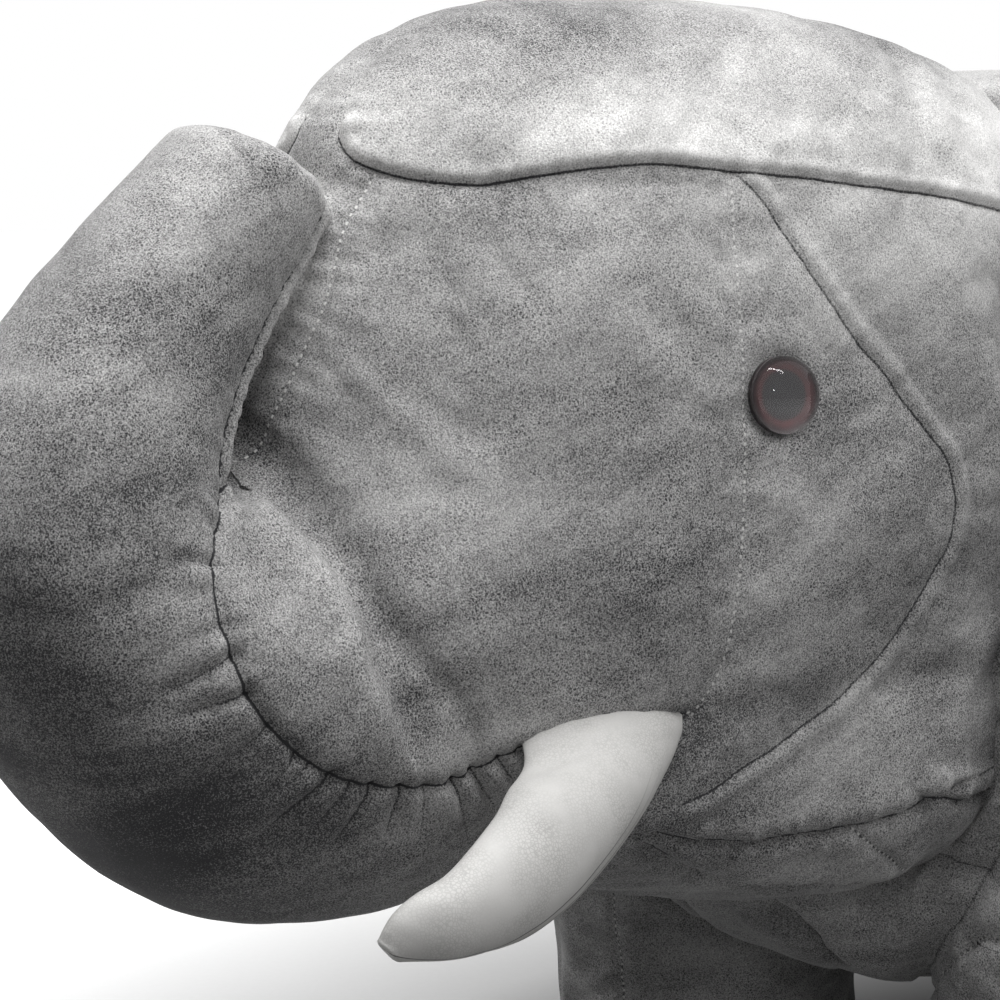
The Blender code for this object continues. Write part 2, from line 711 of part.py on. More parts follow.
def build_frame():
    """Posts, rails, seat board and neck board, joined by tenons and pegs."""
    board_top, board_under, rail_high, _, foot = frame_levels()
    runs = rail_runs()
    rail_face = LEG_FRONT_Y - RAIL_THICKNESS / 2 - GAP
    tongue = TENON_THICKNESS / 2
    neck_tenon = ((-tongue, rail_face - TENON_LENGTH, neck_low() + TENON_SHOULDER),
                  (tongue, rail_face + TENON_LENGTH, rail_high - TENON_SHOULDER))
    rooms = [box_points(*mortise(tenon)) for run in runs for tenon in run[3]]
    mortises = add_object("mortises", *merged(rooms))
    neck_mortise = add_object("neck_mortise", *box_points(*mortise(neck_tenon)))
    for name, low, high, tenons in runs:
        combine(bar(name, low, high, tenons, "timber"), [neck_mortise])
    bar("neck_board", (-NECK_BOARD / 2, rail_face - NECK_BOARD_REACH, neck_low()),
        (NECK_BOARD / 2, rail_face, rail_high), [neck_tenon], "plywood")
    nail = [(GLIDE_NAIL_RADIUS + GAP, 0), (GLIDE_NAIL_RADIUS + GAP, GLIDE_HEIGHT + GLIDE_NAIL_LENGTH + GAP)]
    places = [place for _, place in leg_places()]
    nails = add_object("glide_nail_holes", *merged(turned(nail, PEG_AROUND, place) for place in places))
    peg = [(PEG_RADIUS, (foot + rail_high) / 2), (PEG_RADIUS, board_top)]
    room = [(PEG_RADIUS + GAP, rail_high), (PEG_RADIUS + GAP, BODY_TOP)]
    peg_holes = add_object("peg_holes", *merged(turned(room, PEG_AROUND, place) for place in places))
    low, high = Vector((-POST / 2, -POST / 2, foot)), Vector((POST / 2, POST / 2, rail_high))
    for name, place in leg_places():
        axis = place.translation
        post = box(f"leg_post_{name}", axis + low, axis + high, "timber")
        combine(post, [add_object(f"{name}_peg", *turned(peg, PEG_AROUND, place))], "UNION")
        combine(post, [mortises, nails])
    low = (-LEG_X - BOARD_OVERHANG, LEG_FRONT_Y - BOARD_OVERHANG, board_under)
    high = (LEG_X + BOARD_OVERHANG, LEG_REAR_Y + BOARD_OVERHANG, board_top)
    combine(box("seat_board", low, high, "plywood"), [peg_holes])


# Padding and covers


def post_holes():
    """The cutter for every post's way through foam, cover and leg."""
    reach = Vector((POST / 2 + GAP, POST / 2 + GAP, 0))
    top = Vector((0, 0, frame_levels()[0]))
    corners = [(place.translation - reach, place.translation + reach + top) for _, place in leg_places()]
    return add_object("post_holes", *merged(box_points(*ends) for ends in corners))


def neck_hole():
    """The cutter for the neck board's way through chest and head."""
    front = LEG_FRONT_Y - RAIL_THICKNESS / 2 - NECK_BOARD_REACH - 2 * GAP
    high = neck_low() + NECK_BOARD_HEIGHT + GAP
    half = NECK_BOARD / 2 + GAP
    return box("neck_hole", (-half, front, neck_low() - GAP), (half, LEG_FRONT_Y, high))


def build_body(body, posts, neck):
    """Foam blocks around the frame and the sewn panels over them."""
    far = BODY_REAR - BODY_FRONT
    side_face = LEG_X + POST / 2 + GAP
    front_face = LEG_FRONT_Y - POST / 2 - GAP
    rear_face = LEG_REAR_Y + POST / 2 + GAP
    split = frame_levels()[0] + GAP
    under = split - GAP
    belly_top = BODY_BOTTOM + BELLY_FOAM_DEPTH
    blocks = {
        "seat_foam": ((-far, -far, split), (far, far, far)),
        "chest_foam": ((-far, -far, 0), (far, front_face, under)),
        "rump_foam": ((-far, rear_face, 0), (far, far, under)),
        "flank_foam_left": ((side_face, front_face + GAP, 0), (far, rear_face - GAP, under)),
        "flank_foam_right": ((-far, front_face + GAP, 0), (-side_face, rear_face - GAP, under)),
        "belly_foam": ((GAP - side_face, front_face + GAP, 0), (side_face - GAP, rear_face - GAP, belly_top)),
    }
    for name, corners in blocks.items():
        foam = combine(body.solid(name, finish="foam"), [box(f"{name}_block", *corners)], "INTERSECT")
        combine(foam, [neck, posts])
    around, rows = body.around, body.rows
    edge, half = BACK_HALF_COLUMNS, around // 2
    middle = range(CHEST_PANEL_ROWS, rows + 1 - RUMP_PANEL_ROWS)
    panels = {
        "chest_panel": body.block(range(CHEST_PANEL_ROWS), range(around)),
        "rump_panel": body.block(range(rows + 1 - RUMP_PANEL_ROWS, rows + 1), range(around)),
        "back_panel": body.block(middle, range(-edge, edge)),
        "belly_panel": body.block(middle, range(half - edge, half + edge)),
        "flank_panel_left": body.block(middle, range(edge, half - edge)),
        "flank_panel_right": body.block(middle, range(half + edge, around - edge)),
    }
    for name, cells in panels.items():
        combine(body.panel(name, cells, "suede"), [neck, posts])


def build_legs(body_room, posts):
    """Padded leg sleeves on the posts, their soles and the glides."""
    foot = frame_levels()[4]
    toe = LEG_FOOT_RADIUS - LEG_TOE_ROUND
    rise = LEG_HAUNCH_HEIGHT - LEG_THIGH_HEIGHT
    sleeve = [(toe, foot), (LEG_FOOT_RADIUS, foot + LEG_TOE_ROUND)]
    sleeve += [(LEG_FOOT_RADIUS, foot + LEG_FOOT_HEIGHT), (LEG_SHIN_RADIUS, LEG_SHIN_HEIGHT)]
    sleeve += [(LEG_THIGH_RADIUS, LEG_THIGH_HEIGHT)]
    sleeve += [(LEG_THIGH_RADIUS * dome(share, LEG_HAUNCH_POWER), LEG_THIGH_HEIGHT + rise * share)
               for share in reversed(SMALL_DOME_ROWS)]
    sole = [(toe, GLIDE_HEIGHT + GAP), (toe, GLIDE_HEIGHT + GAP + SOLE)]
    nail_top = GLIDE_HEIGHT + GLIDE_NAIL_LENGTH
    glide = [(GLIDE_RADIUS - GLIDE_EDGE, 0), (GLIDE_RADIUS, GLIDE_EDGE), (GLIDE_RADIUS, GLIDE_HEIGHT),
             (GLIDE_NAIL_RADIUS, GLIDE_HEIGHT), (GLIDE_NAIL_RADIUS, nail_top - GLIDE_NAIL_POINT),
             (GLIDE_NAIL_TIP_RADIUS, nail_top)]
    nails = bpy.data.objects["glide_nail_holes"]
    for name, place in leg_places():
        combine(add_object(f"leg_{name}", *turned(sleeve, LEG_AROUND, place), "suede"), [body_room, posts])
        combine(add_object(f"sole_{name}", *turned(sole, LEG_AROUND, place), "suede"), [nails])
        add_object(f"glide_{name}", *turned(glide, LEG_AROUND, place), "nylon")


def build_eyes():
    """Domed eyes on shanks and the washers behind the cover; returns the cutters for shanks and washers."""
    base = GAP + COVER + 2 * GAP
    washer_top = -2 * GAP
    washer_low = washer_top - WASHER
    hole = [(EYE_SHANK_RADIUS + GAP, -EYE_SHANK_LENGTH - GAP), (EYE_SHANK_RADIUS + GAP, base + COVER)]
    pocket = [(WASHER_RADIUS + GAP, washer_low - GAP), (WASHER_RADIUS + GAP, base + COVER)]
    washer = [(WASHER_RADIUS, washer_low), (WASHER_RADIUS, washer_top)]
    eye = [(EYE_SHANK_RADIUS / 2, -EYE_SHANK_LENGTH), (EYE_SHANK_RADIUS, EYE_SHANK_RADIUS - EYE_SHANK_LENGTH)]
    eye += [(EYE_SHANK_RADIUS, base), (EYE_RADIUS, base)]
    eye += [(EYE_RADIUS * math.cos(turn), base + EYE_RIM + EYE_DOME * math.sin(turn))
            for turn in EYE_DOME_TURNS]
    places = {name: aim(*head_side(EYE_Y, EYE_HEIGHT, side)) for name, side in SIDES}
    holes = add_object("eye_holes", *merged(turned(hole, PEG_AROUND, place) for place in places.values()))
    rooms = merged(turned(pocket, LEG_AROUND, place) for place in places.values())
    pockets = add_object("washer_pockets", *rooms)
    for name, place in places.items():
        add_object(f"eye_{name}", *turned(eye, LEG_AROUND, place), "eye")
        combine(add_object(f"eye_washer_{name}", *turned(washer, LEG_AROUND, place), "nylon"), [holes])
    return holes, pockets


def build_head(head, body_room, neck):
    """Head stuffing, its sewn panels, and the eyes with their washers."""
    holes, pockets = build_eyes()
    combine(head.solid("head_stuffing", finish="fibre"), [body_room, neck, holes, pockets])
    crown_start = len(SMALL_DOME_ROWS) + HEAD_SIDE_ROWS
    jaw, side_rows = range(JAW_PANEL_ROWS), range(JAW_PANEL_ROWS, crown_start)
    crown = range(crown_start, head.rows + 1)
    columns = range(head.around)
    panels = {
        "jaw_panel": head.block(jaw, columns),
        "head_cap": head.block(crown, columns),
        "forehead_panel": head.block(side_rows, range(-STRIP_COLUMNS, STRIP_COLUMNS)),
    }
    first = STRIP_COLUMNS
    runs = (("face_panel", FACE_COLUMNS), ("eye_panel", EYE_COLUMNS), ("cheek_panel", CHEEK_COLUMNS))
    for name, count in runs:
        panels[f"{name}_left"] = head.block(side_rows, range(first, first + count))
        panels[f"{name}_right"] = head.block(side_rows, range(-first - count, -first))
        first += count
    for name, cells in panels.items():
        combine(head.panel(name, cells, "suede"), [body_room, holes])


def build_trunk(trunk, head_room):
    """Trunk stuffing, its wide outer panel that closes the tip, and the narrow inner gusset."""
    gusset = trunk.block(range(trunk.rows), range(-(GUSSET_COLUMNS + 1) // 2, GUSSET_COLUMNS // 2))
    combine(trunk.solid("trunk_stuffing", finish="fibre"), [head_room])
    combine(trunk.panel("trunk_outer_panel", set(trunk.cells) - gusset, "suede"), [head_room])
    combine(trunk.panel("trunk_inner_gusset", gusset, "suede"), [head_room])


def build_sewn_on(body, head, head_room, trunk_room, root):
    """Tusks, ears and tail; ears and tail hang on empties at their joints."""
    for name, side in SIDES:
        combine(tusk_form(side).solid(f"tusk_{name}", finish="tusk"), [head_room, trunk_room])
        pivot = add_empty(f"ear_{name}_root", ear_root(side)[0], root)
        ear = ear_form(side).solid(f"ear_{name}", finish="suede", pivot=pivot)
        combine(ear, swung(head, f"head_swing_{name}", side) + swung(body, f"body_swing_{name}", side))
    pivot = add_empty("tail_root", (0, tail_line(), RUMP_HEIGHT), root)
    tail, tuft = tail_forms()
    tail.solid("tail", finish="suede", pivot=pivot)
    tuft.solid("tail_tuft", finish="suede", pivot=pivot)


def root_place(trunk):
    """Where the root empty lies, so that the origin is midway between the trunk and the tuft's back."""
    front = min(point.y for point in trunk.points) - GAP - COVER
    return 0, -(front + tail_line() + TUFT_RADIUS) / 2, 0


def main():
    """Build the footstool."""
    clear_scene()
    body, head, trunk = body_form(), head_form(), trunk_form()
    root = add_empty(ROOT_NAME, root_place(trunk))
    room = GAP + COVER + GAP
    body_room, head_room = body.solid("body_room", room), head.solid("head_room", room)
    trunk_room = trunk.solid("trunk_room", room)
    build_frame()
    posts, neck = post_holes(), neck_hole()
    build_body(body, posts, neck)
    build_legs(body_room, posts)
    build_head(head, body_room, neck)
    build_trunk(trunk, head_room)
    build_sewn_on(body, head, head_room, trunk_room, root)


main()
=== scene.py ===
"""Looks of the elephant footstool: sewn suede covers, tusks, eyes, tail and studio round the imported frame.

The elephant faces -Y, its left side is +X, and it stands on Z = 0. Shapes are worked out in millimetres in the
frame of the part's source, which lies SOURCE_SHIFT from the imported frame, and become metres as a mesh is made.
"""

import logging
import math
from dataclasses import dataclass
from enum import Enum
from functools import partial

import bpy
import numpy as np
from mathutils import Matrix, Vector
from mathutils.bvhtree import BVHTree


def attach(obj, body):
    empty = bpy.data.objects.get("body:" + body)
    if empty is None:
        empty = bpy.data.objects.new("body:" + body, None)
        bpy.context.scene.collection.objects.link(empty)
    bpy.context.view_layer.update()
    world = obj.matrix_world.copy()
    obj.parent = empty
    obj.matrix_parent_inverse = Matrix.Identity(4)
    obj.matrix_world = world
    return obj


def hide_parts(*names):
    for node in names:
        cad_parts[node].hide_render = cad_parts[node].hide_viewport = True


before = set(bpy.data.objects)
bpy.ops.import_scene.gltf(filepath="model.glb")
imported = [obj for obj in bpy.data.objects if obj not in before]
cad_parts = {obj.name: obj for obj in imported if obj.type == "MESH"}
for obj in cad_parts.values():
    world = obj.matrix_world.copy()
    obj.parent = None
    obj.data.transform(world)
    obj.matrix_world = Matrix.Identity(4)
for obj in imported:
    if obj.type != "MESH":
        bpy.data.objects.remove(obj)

LOG = logging.getLogger("footstool")
MM = 0.001
SOURCE_SHIFT = np.array([0.0, -1.52, 0.0])
COVER = 1.5
MIRROR = np.array([-1.0, 1.0, 1.0])


class Side(Enum):
    """The elephant's own left and right, as the sign of X."""

    LEFT = 1
    RIGHT = -1

    @property
    def word(self) -> str:
        """The word that ends a node's name."""
        return self.name.lower()


class Thread(Enum):
    """Attributes that carry seams to the shader; seams that meet are on different threads."""

    FIRST = "seam_first"
    SECOND = "seam_second"
    THIRD = "seam_third"


# Shader helpers


def linear(hex_colour: str) -> tuple[float, float, float, float]:
    """Turn an sRGB hex colour into linear light.

    Args:
        hex_colour: the colour as six hex digits after a hash.

    Returns:
        Red, green, blue and alpha in linear light.
    """
    parts = [int(hex_colour[i:i + 2], 16) / 255 for i in (1, 3, 5)]
    red, green, blue = (p / 12.92 if p <= 0.04045 else ((p + 0.055) / 1.055) ** 2.4 for p in parts)
    return red, green, blue, 1.0


def feed(tree: bpy.types.NodeTree, node: bpy.types.Node, inputs: dict) -> None:
    """Set a node's sockets.

    Args:
        tree: the node tree.
        node: the node.
        inputs: socket name or number to a value, or to an output socket that is linked to it.
    """
    for socket, value in inputs.items():
        if isinstance(value, bpy.types.NodeSocket):
            tree.links.new(value, node.inputs[socket])
        else:
            node.inputs[socket].default_value = value


def add_node(tree: bpy.types.NodeTree, kind: str, inputs: dict, out: int | str = 0,
             **settings) -> bpy.types.NodeSocket:
    """Add a node with its settings, socket values and links.

    Args:
        tree: the node tree.
        kind: the node's type without its first word.
        inputs: socket name or number to a value, or to an output socket that is linked to it.
        out: which output is wanted.
        **settings: the node's own properties.

    Returns:
        The output socket.
    """
    node = tree.nodes.new("ShaderNode" + kind)
    for name, value in settings.items():
        setattr(node, name, value)
    feed(tree, node, inputs)
    return node.outputs[out]


def per_metre(size_mm: float) -> float:
    """Texture scale at which a pattern repeats about every size_mm millimetres."""
    return 1.0 / (size_mm * MM)


def blank_material(name: str) -> tuple[bpy.types.Material, bpy.types.NodeTree, bpy.types.Node]:
    """Make an empty Principled material.

    Args:
        name: the material's name.

    Returns:
        The material, its node tree and its Principled shader.
    """
    made = bpy.data.materials.new(name)
    made.use_nodes = True
    return made, made.node_tree, made.node_tree.nodes["Principled BSDF"]


def lumps(place: bpy.types.NodeSocket, size_mm: float, detail: float, rough: float) -> dict:
    """Inputs of a noise whose lumps are about size_mm across."""
    return {"Vector": place, "Scale": per_metre(size_mm), "Detail": detail, "Roughness": rough}


def step(value: bpy.types.NodeSocket, low: float, high: float, start: float = 0.0, end: float = 1.0) -> dict:
    """Inputs of a Map Range from low to high onto start to end."""
    return {"Value": value, 1: low, 2: high, 3: start, 4: end}


# Finishes


@dataclass(frozen=True)
class FauxSuede:
    """Printed and brushed polyester faux suede on a knit: matt, with worn light patches and dark creases."""

    name: str = "faux_suede_grey"
    worn: str = "#e2e1e0"
    pits: str = "#2e2e30"
    thread: str = "#f2f1ef"
    grain: float = 1.0
    nap: float = 0.46
    mottle: float = 3.2
    print_patch: float = 22.0
    streak: float = 42.0
    cloud: float = 62.0
    worn_band: float = 70.0
    stitch: float = 2.6
    level: float = 0.3
    print_shares: tuple[float, float] = (0.05, 0.32)
    # painted shade: how dark the groove of a seam or the crease of a fold is painted
    line_dark: float = 0.62
    thread_cover: float = 0.7
    roughness: float = 0.88
    sheen: float = 0.15

    def material(self) -> bpy.types.Material:
        """Fine leather cells printed on the nap, cloudy wear and brush streaks, which make it look worn and soft; a
        painted shade darkens each seam's groove and each fold's crease.
        """
        made, tree, shader = blank_material(self.name)
        put = partial(add_node, tree)
        place = put("TexCoord", {}, "Object")
        warp = put("TexNoise", lumps(place, 1.9, 1.0, 0.5), 1)
        bent = put("VectorMath", {0: warp, 1: (1.1 * MM,) * 3, 2: place}, operation="MULTIPLY_ADD")
        cell = {"Vector": bent, "Scale": per_metre(self.grain)}
        edge = put("TexVoronoi", cell, feature="DISTANCE_TO_EDGE")
        pit = put("MapRange", step(edge, 0.0, 0.34), interpolation_type="SMOOTHSTEP")
        fuzz = put("TexNoise", lumps(place, self.nap, 2.0, 0.7))
        turned = put("Mapping", {"Vector": place, "Rotation": (0.9, 0.45, 0.6), "Scale": (1.0, 1.0, 3.6)})
        brushed = put("Mapping", {"Vector": place, "Rotation": (0.5, 0.25, 0.0), "Scale": (1.0, 1.0, 0.2)},
                      vector_type="TEXTURE")
        patch = put("TexNoise", lumps(place, self.print_patch, 4.0, 0.6))
        print_share = put("MapRange", step(patch, 0.35, 0.68, *self.print_shares))
        # the tone attribute holds random and panel tones together with painted light and painted shade from the covers
        shade = put("Math", {0: put("Attribute", {}, "Fac", attribute_name="tone"), 1: self.level}, operation="ADD")
        for noise, weight in ((put("TexNoise", lumps(place, self.cloud, 2.5, 0.5)), 0.65),
                              (put("TexNoise", lumps(turned, self.worn_band, 3.5, 0.55)), 0.5),
                              (put("TexNoise", lumps(brushed, self.streak, 4.0, 0.6)), 0.42),
                              (put("TexNoise", lumps(place, self.mottle, 2.0, 0.6)), 0.2), (fuzz, 1.7)):
            centred = put("Math", {0: noise, 1: weight, 2: -0.5 * weight}, operation="MULTIPLY_ADD")
            shade = put("Math", {0: shade, 1: centred}, operation="ADD")
        sunk = put("Math", {0: pit, 1: -0.45}, operation="ADD")
        shade = put("Math", {0: shade, 1: put("Math", {0: sunk, 1: print_share}, operation="MULTIPLY")},
                    operation="SUBTRACT")
        height = put("Math", {0: put("Math", {0: pit, 1: print_share}, operation="MULTIPLY"), 1: -0.7,
                              2: put("Math", {0: fuzz, 1: 0.6}, operation="MULTIPLY")}, operation="MULTIPLY_ADD")
        stitched = 0.0
        for thread in Thread:
            seam = put("Attribute", {}, "Vector", attribute_name=thread.value)
            away, along, weight = put("SeparateXYZ", {0: seam}).node.outputs
            apart = put("Math", {0: away}, operation="ABSOLUTE")
            dark = put("Math", {0: weight, 1: weight}, operation="MULTIPLY")
            line = put("Math", {0: put("MapRange", step(apart, 0.1, 0.55, 1.0, 0.0), interpolation_type="SMOOTHSTEP"),
                                1: dark}, operation="MULTIPLY")
            wave = put("Math", {0: put("Math", {0: along, 1: math.tau / self.stitch}, operation="MULTIPLY")},
                       operation="SINE")
            dash = put("Math", {0: put("MapRange", step(wave, 0.1, 0.7)),
                                1: put("MapRange", step(apart, 0.2, 0.5, 1.0, 0.0))}, operation="MULTIPLY")
            plain = put("MapRange", step(weight, 0.5, 0.9, 1.0, 0.0))
            dash = put("Math", {0: dash, 1: put("MapRange", step(weight, 0.0, 0.3, 0.0, 1.0))}, operation="MULTIPLY")
            dash = put("Math", {0: dash, 1: plain}, operation="MULTIPLY")
            # painted shade: the cloth goes darker along each seam's groove and each fold's crease, by the line's
            # weight squared
            shade = put("Math", {0: line, 1: -self.line_dark, 2: shade}, operation="MULTIPLY_ADD")
            height = put("Math", {0: line, 1: -1.4, 2: put("Math", {0: dash, 1: 0.5, 2: height},
                                                           operation="MULTIPLY_ADD")}, operation="MULTIPLY_ADD")
            stitched = put("Math", {0: stitched, 1: dash}, operation="MAXIMUM")
        cloth = put("Mix", {"Factor": shade, 6: linear(self.pits), 7: linear(self.worn)}, 2, data_type="RGBA")
        faint = put("Math", {0: stitched, 1: self.thread_cover}, operation="MULTIPLY")
        sewn = put("Mix", {"Factor": faint, 6: cloth, 7: linear(self.thread)}, 2, data_type="RGBA")
        bump = put("Bump", {"Height": height, "Strength": 0.55, "Distance": 0.3 * MM})
        feed(tree, shader, {"Base Color": sewn, "Normal": bump, "Roughness": self.roughness,
                            "Specular IOR Level": 0.25, "Sheen Weight": self.sheen, "Sheen Roughness": 0.45})
        return made


@dataclass(frozen=True)
class TuskLeatherette:
    """Embossed white polyurethane leatherette: smooth, softly glossy, with a fine grain."""

    name: str = "leatherette_white"
    face: str = "#bebdbb"
    crease: str = "#8e8d8b"
    edge: str = "#3f3e3e"
    turned_edge: float = 4.3
    grain: float = 0.95
    roughness: float = 0.5

    def material(self) -> bpy.types.Material:
        """Fine embossed cells, a little soiling, and the two dark lines of the turned edge."""
        made, tree, shader = blank_material(self.name)
        put = partial(add_node, tree)
        place = put("TexCoord", {}, "Object")
        edge = put("TexVoronoi", {"Vector": place, "Scale": per_metre(self.grain)}, feature="DISTANCE_TO_EDGE")
        crease = put("MapRange", step(edge, 0.0, 0.2, 1.0, 0.0), interpolation_type="SMOOTHSTEP")
        grain = put("Math", {0: crease, 1: put("MapRange", step(put("TexNoise", lumps(place, 14.0, 2.0, 0.5)),
                                                                0.35, 0.7, 0.05, 0.5))}, operation="MULTIPLY")
        soil = put("MapRange", step(put("TexNoise", lumps(place, 24.0, 4.0, 0.55)), 0.35, 0.75, 0.0, 0.35))
        share = put("Math", {0: grain, 1: soil}, operation="ADD")
        cloth = put("Mix", {"Factor": share, 6: linear(self.face), 7: linear(self.crease)}, 2, data_type="RGBA")
        seam = put("Attribute", {}, "Vector", attribute_name=Thread.FIRST.value)
        away, _, weight = put("SeparateXYZ", {0: seam}).node.outputs
        rim = put("MapRange", step(put("Math", {0: away}, operation="ABSOLUTE"), 0.2, 0.6, 0.8, 0.0))
        sewn_line = put("Math", {0: away, 1: -self.turned_edge}, operation="ADD")
        inner = put("MapRange", step(put("Math", {0: sewn_line}, operation="ABSOLUTE"), 0.15, 0.5, 1.0, 0.0))
        line = put("Math", {0: put("Math", {0: rim, 1: inner}, operation="MAXIMUM"), 1: weight}, operation="MULTIPLY")
        sewn = put("Mix", {"Factor": line, 6: cloth, 7: linear(self.edge)}, 2, data_type="RGBA")
        height = put("Math", {0: grain, 1: -0.7, 2: put("Math", {0: line, 1: -1.0}, operation="MULTIPLY")},
                     operation="MULTIPLY_ADD")
        bump = put("Bump", {"Height": height, "Strength": 0.4, "Distance": 0.2 * MM})
        feed(tree, shader, {"Base Color": sewn, "Normal": bump, "Roughness": self.roughness, "IOR": 1.48})
        return made


@dataclass(frozen=True)
class ClearAcrylic:
    """Polished clear acrylic of the eye's dome: glossy, it enlarges the paint behind it."""

    name: str = "acrylic_clear"
    body: str = "#f4f2f2"
    ior: float = 1.34

    def material(self) -> bpy.types.Material:
        """Glass-like plastic with faint handling marks, which lets lamps reach the paint."""
        made, tree, shader = blank_material(self.name)
        put = partial(add_node, tree)
        marks = put("TexNoise", lumps(put("TexCoord", {}, "Object"), 3.0, 3.0, 0.6))
        feed(tree, shader, {"Base Color": linear(self.body), "IOR": self.ior, "Transmission Weight": 1.0,
                            "Roughness": put("MapRange", step(marks, 0.45, 0.75, 0.02, 0.06))})
        lamps = put("LightPath", {}, "Is Shadow Ray")
        mixed = put("MixShader", {0: lamps, 1: shader.outputs[0], 2: put("BsdfTransparent", {})})
        feed(tree, tree.nodes["Material Output"], {"Surface": mixed})
        return made


@dataclass(frozen=True)
class EyePaint:
    """Lacquer on the back of the eye: a black pupil in a red-brown ring with a black edge."""

    name: str = "lacquer_eye"
    pupil: str = "#030306"
    ring: str = "#300b0e"
    rim: str = "#12090c"
    pupil_radius: float = 5.7
    ring_radius: float = 7.6

    def material(self) -> bpy.types.Material:
        """Rings by the distance from the eye's axis, a little uneven as sprayed paint is."""
        made, tree, shader = blank_material(self.name)
        put = partial(add_node, tree)
        place = put("TexCoord", {}, "Object")
        x, y, _ = put("SeparateXYZ", {0: place}).node.outputs
        y_square = put("Math", {0: y, 1: y}, operation="MULTIPLY")
        square = put("Math", {0: x, 1: x, 2: y_square}, operation="MULTIPLY_ADD")
        radius = put("Math", {0: square}, operation="SQRT")
        ring = put("MapRange", step(radius, (self.pupil_radius - 0.3) * MM, (self.pupil_radius + 0.4) * MM))
        mottle = put("MapRange", step(put("TexNoise", lumps(place, 2.2, 3.0, 0.55)), 0.3, 0.7, 0.5, 1.0))
        share = put("Math", {0: ring, 1: mottle}, operation="MULTIPLY")
        inner = put("Mix", {"Factor": share, 6: linear(self.pupil), 7: linear(self.ring)}, 2, data_type="RGBA")
        edge = put("MapRange", step(radius, (self.ring_radius - 0.8) * MM, (self.ring_radius + 0.8) * MM))
        whole = put("Mix", {"Factor": edge, 6: inner, 7: linear(self.rim)}, 2, data_type="RGBA")
        feed(tree, shader, {"Base Color": whole, "Roughness": 0.6})
        return made


@dataclass(frozen=True)
class MouldedNylon:
    """Injection moulded black nylon: satin, with a fine spark-eroded texture."""

    name: str = "nylon_black"
    body: str = "#1d1d1f"
    scuff: str = "#3a3a3c"

    def material(self) -> bpy.types.Material:
        """A fine texture with pale scuffs."""
        made, tree, shader = blank_material(self.name)
        put = partial(add_node, tree)
        place = put("TexCoord", {}, "Object")
        scuff = put("MapRange", step(put("TexNoise", lumps(place, 5.0, 5.0, 0.65)), 0.5, 0.8))
        colour = put("Mix", {"Factor": scuff, 6: linear(self.body), 7: linear(self.scuff)}, 2, data_type="RGBA")
        bump = put("Bump", {"Height": put("TexNoise", lumps(place, 0.5, 2.0, 0.55)), "Strength": 0.3,
                            "Distance": 0.05 * MM})
        feed(tree, shader, {"Base Color": colour, "Normal": bump, "IOR": 1.53,
                            "Roughness": put("MapRange", step(scuff, 0.0, 1.0, 0.42, 0.6))})
        return made


@dataclass(frozen=True)
class SawnTimber:
    """Planed softwood or plywood: pale, matt, with grain lines along the piece."""

    name: str
    early: str
    late: str
    spacing: float
    along: tuple[float, float, float]

    def material(self) -> bpy.types.Material:
        """Grain lines stretched along the piece, with soft colour changes."""
        made, tree, shader = blank_material(self.name)
        put = partial(add_node, tree)
        place = put("TexCoord", {}, "Object")
        drawn = put("Mapping", {"Vector": place, "Scale": self.along})
        lines = put("MapRange", step(put("TexNoise", lumps(drawn, self.spacing, 4.0, 0.6)), 0.35, 0.65))
        patch = put("MapRange", step(put("TexNoise", lumps(place, 90.0, 2.0, 0.55)), 0.3, 0.7, 0.6, 1.0))
        share = put("Math", {0: lines, 1: patch}, operation="MULTIPLY")
        colour = put("Mix", {"Factor": share, 6: linear(self.early), 7: linear(self.late)}, 2, data_type="RGBA")
        bump = put("Bump", {"Height": lines, "Strength": 0.3, "Distance": 0.1 * MM})
        feed(tree, shader, {"Base Color": colour, "Normal": bump, "Roughness": 0.68})
        return made


@dataclass(frozen=True)
class StudioPaper:
    """Seamless white background paper: matt, it shows as white, keeps a soft shadow and has a painted shadow under the
    object.
    """

    name: str = "studio_paper_white"
    sheet: str = "#bcbcbc"
    unseen: str = "#707070"
    lift: tuple[float, float] = (0.0, 1.0)

    def material(self) -> bpy.types.Material:
        """Paper with a faint fibre; seen directly or in a reflection it turns white away from the object, and near the
        object it is painted darker, a painted shadow.
        """
        made, tree, shader = blank_material(self.name)
        put = partial(add_node, tree)
        place = put("TexCoord", {}, "Object")
        path = put("LightPath", {}).node.outputs
        seen = put("Math", {0: path["Is Camera Ray"], 1: path["Is Glossy Ray"]}, operation="MAXIMUM")
        seen = put("Math", {0: seen, 1: path["Is Transmission Ray"]}, operation="MAXIMUM")
        fibre = put("MapRange", step(put("TexNoise", lumps(place, 3.0, 3.0, 0.55)), 0.3, 0.7, 0.96, 1.0))
        share = put("Math", {0: seen, 1: fibre}, operation="MULTIPLY")
        round_it = put("Mapping", {"Vector": place, "Location": (0.0, -0.24, 0.0), "Scale": (3.3, 2.4, 1.0)})
        far = put("VectorMath", {0: round_it}, "Value", operation="LENGTH")
        # painted shadow: near the object the colour seen goes darker than the paper's bounce grey
        share = put("Math", {0: share, 1: put("MapRange", step(far, 0.3, 0.9, -0.6, 1.0))}, operation="MULTIPLY")
        colour = put("Mix", {"Factor": share, 6: linear(self.unseen), 7: linear(self.sheet)}, 2, data_type="RGBA",
                     clamp_factor=False)
        lift = put("MapRange", step(far, 0.75, 2.1, *self.lift), interpolation_type="SMOOTHSTEP")
        feed(tree, shader, {"Base Color": colour, "Roughness": 0.95, "Emission Color": (1.0, 1.0, 1.0, 1.0),
                            "Emission Strength": put("Math", {0: seen, 1: lift}, operation="MULTIPLY")})
        return made


# Shape helpers


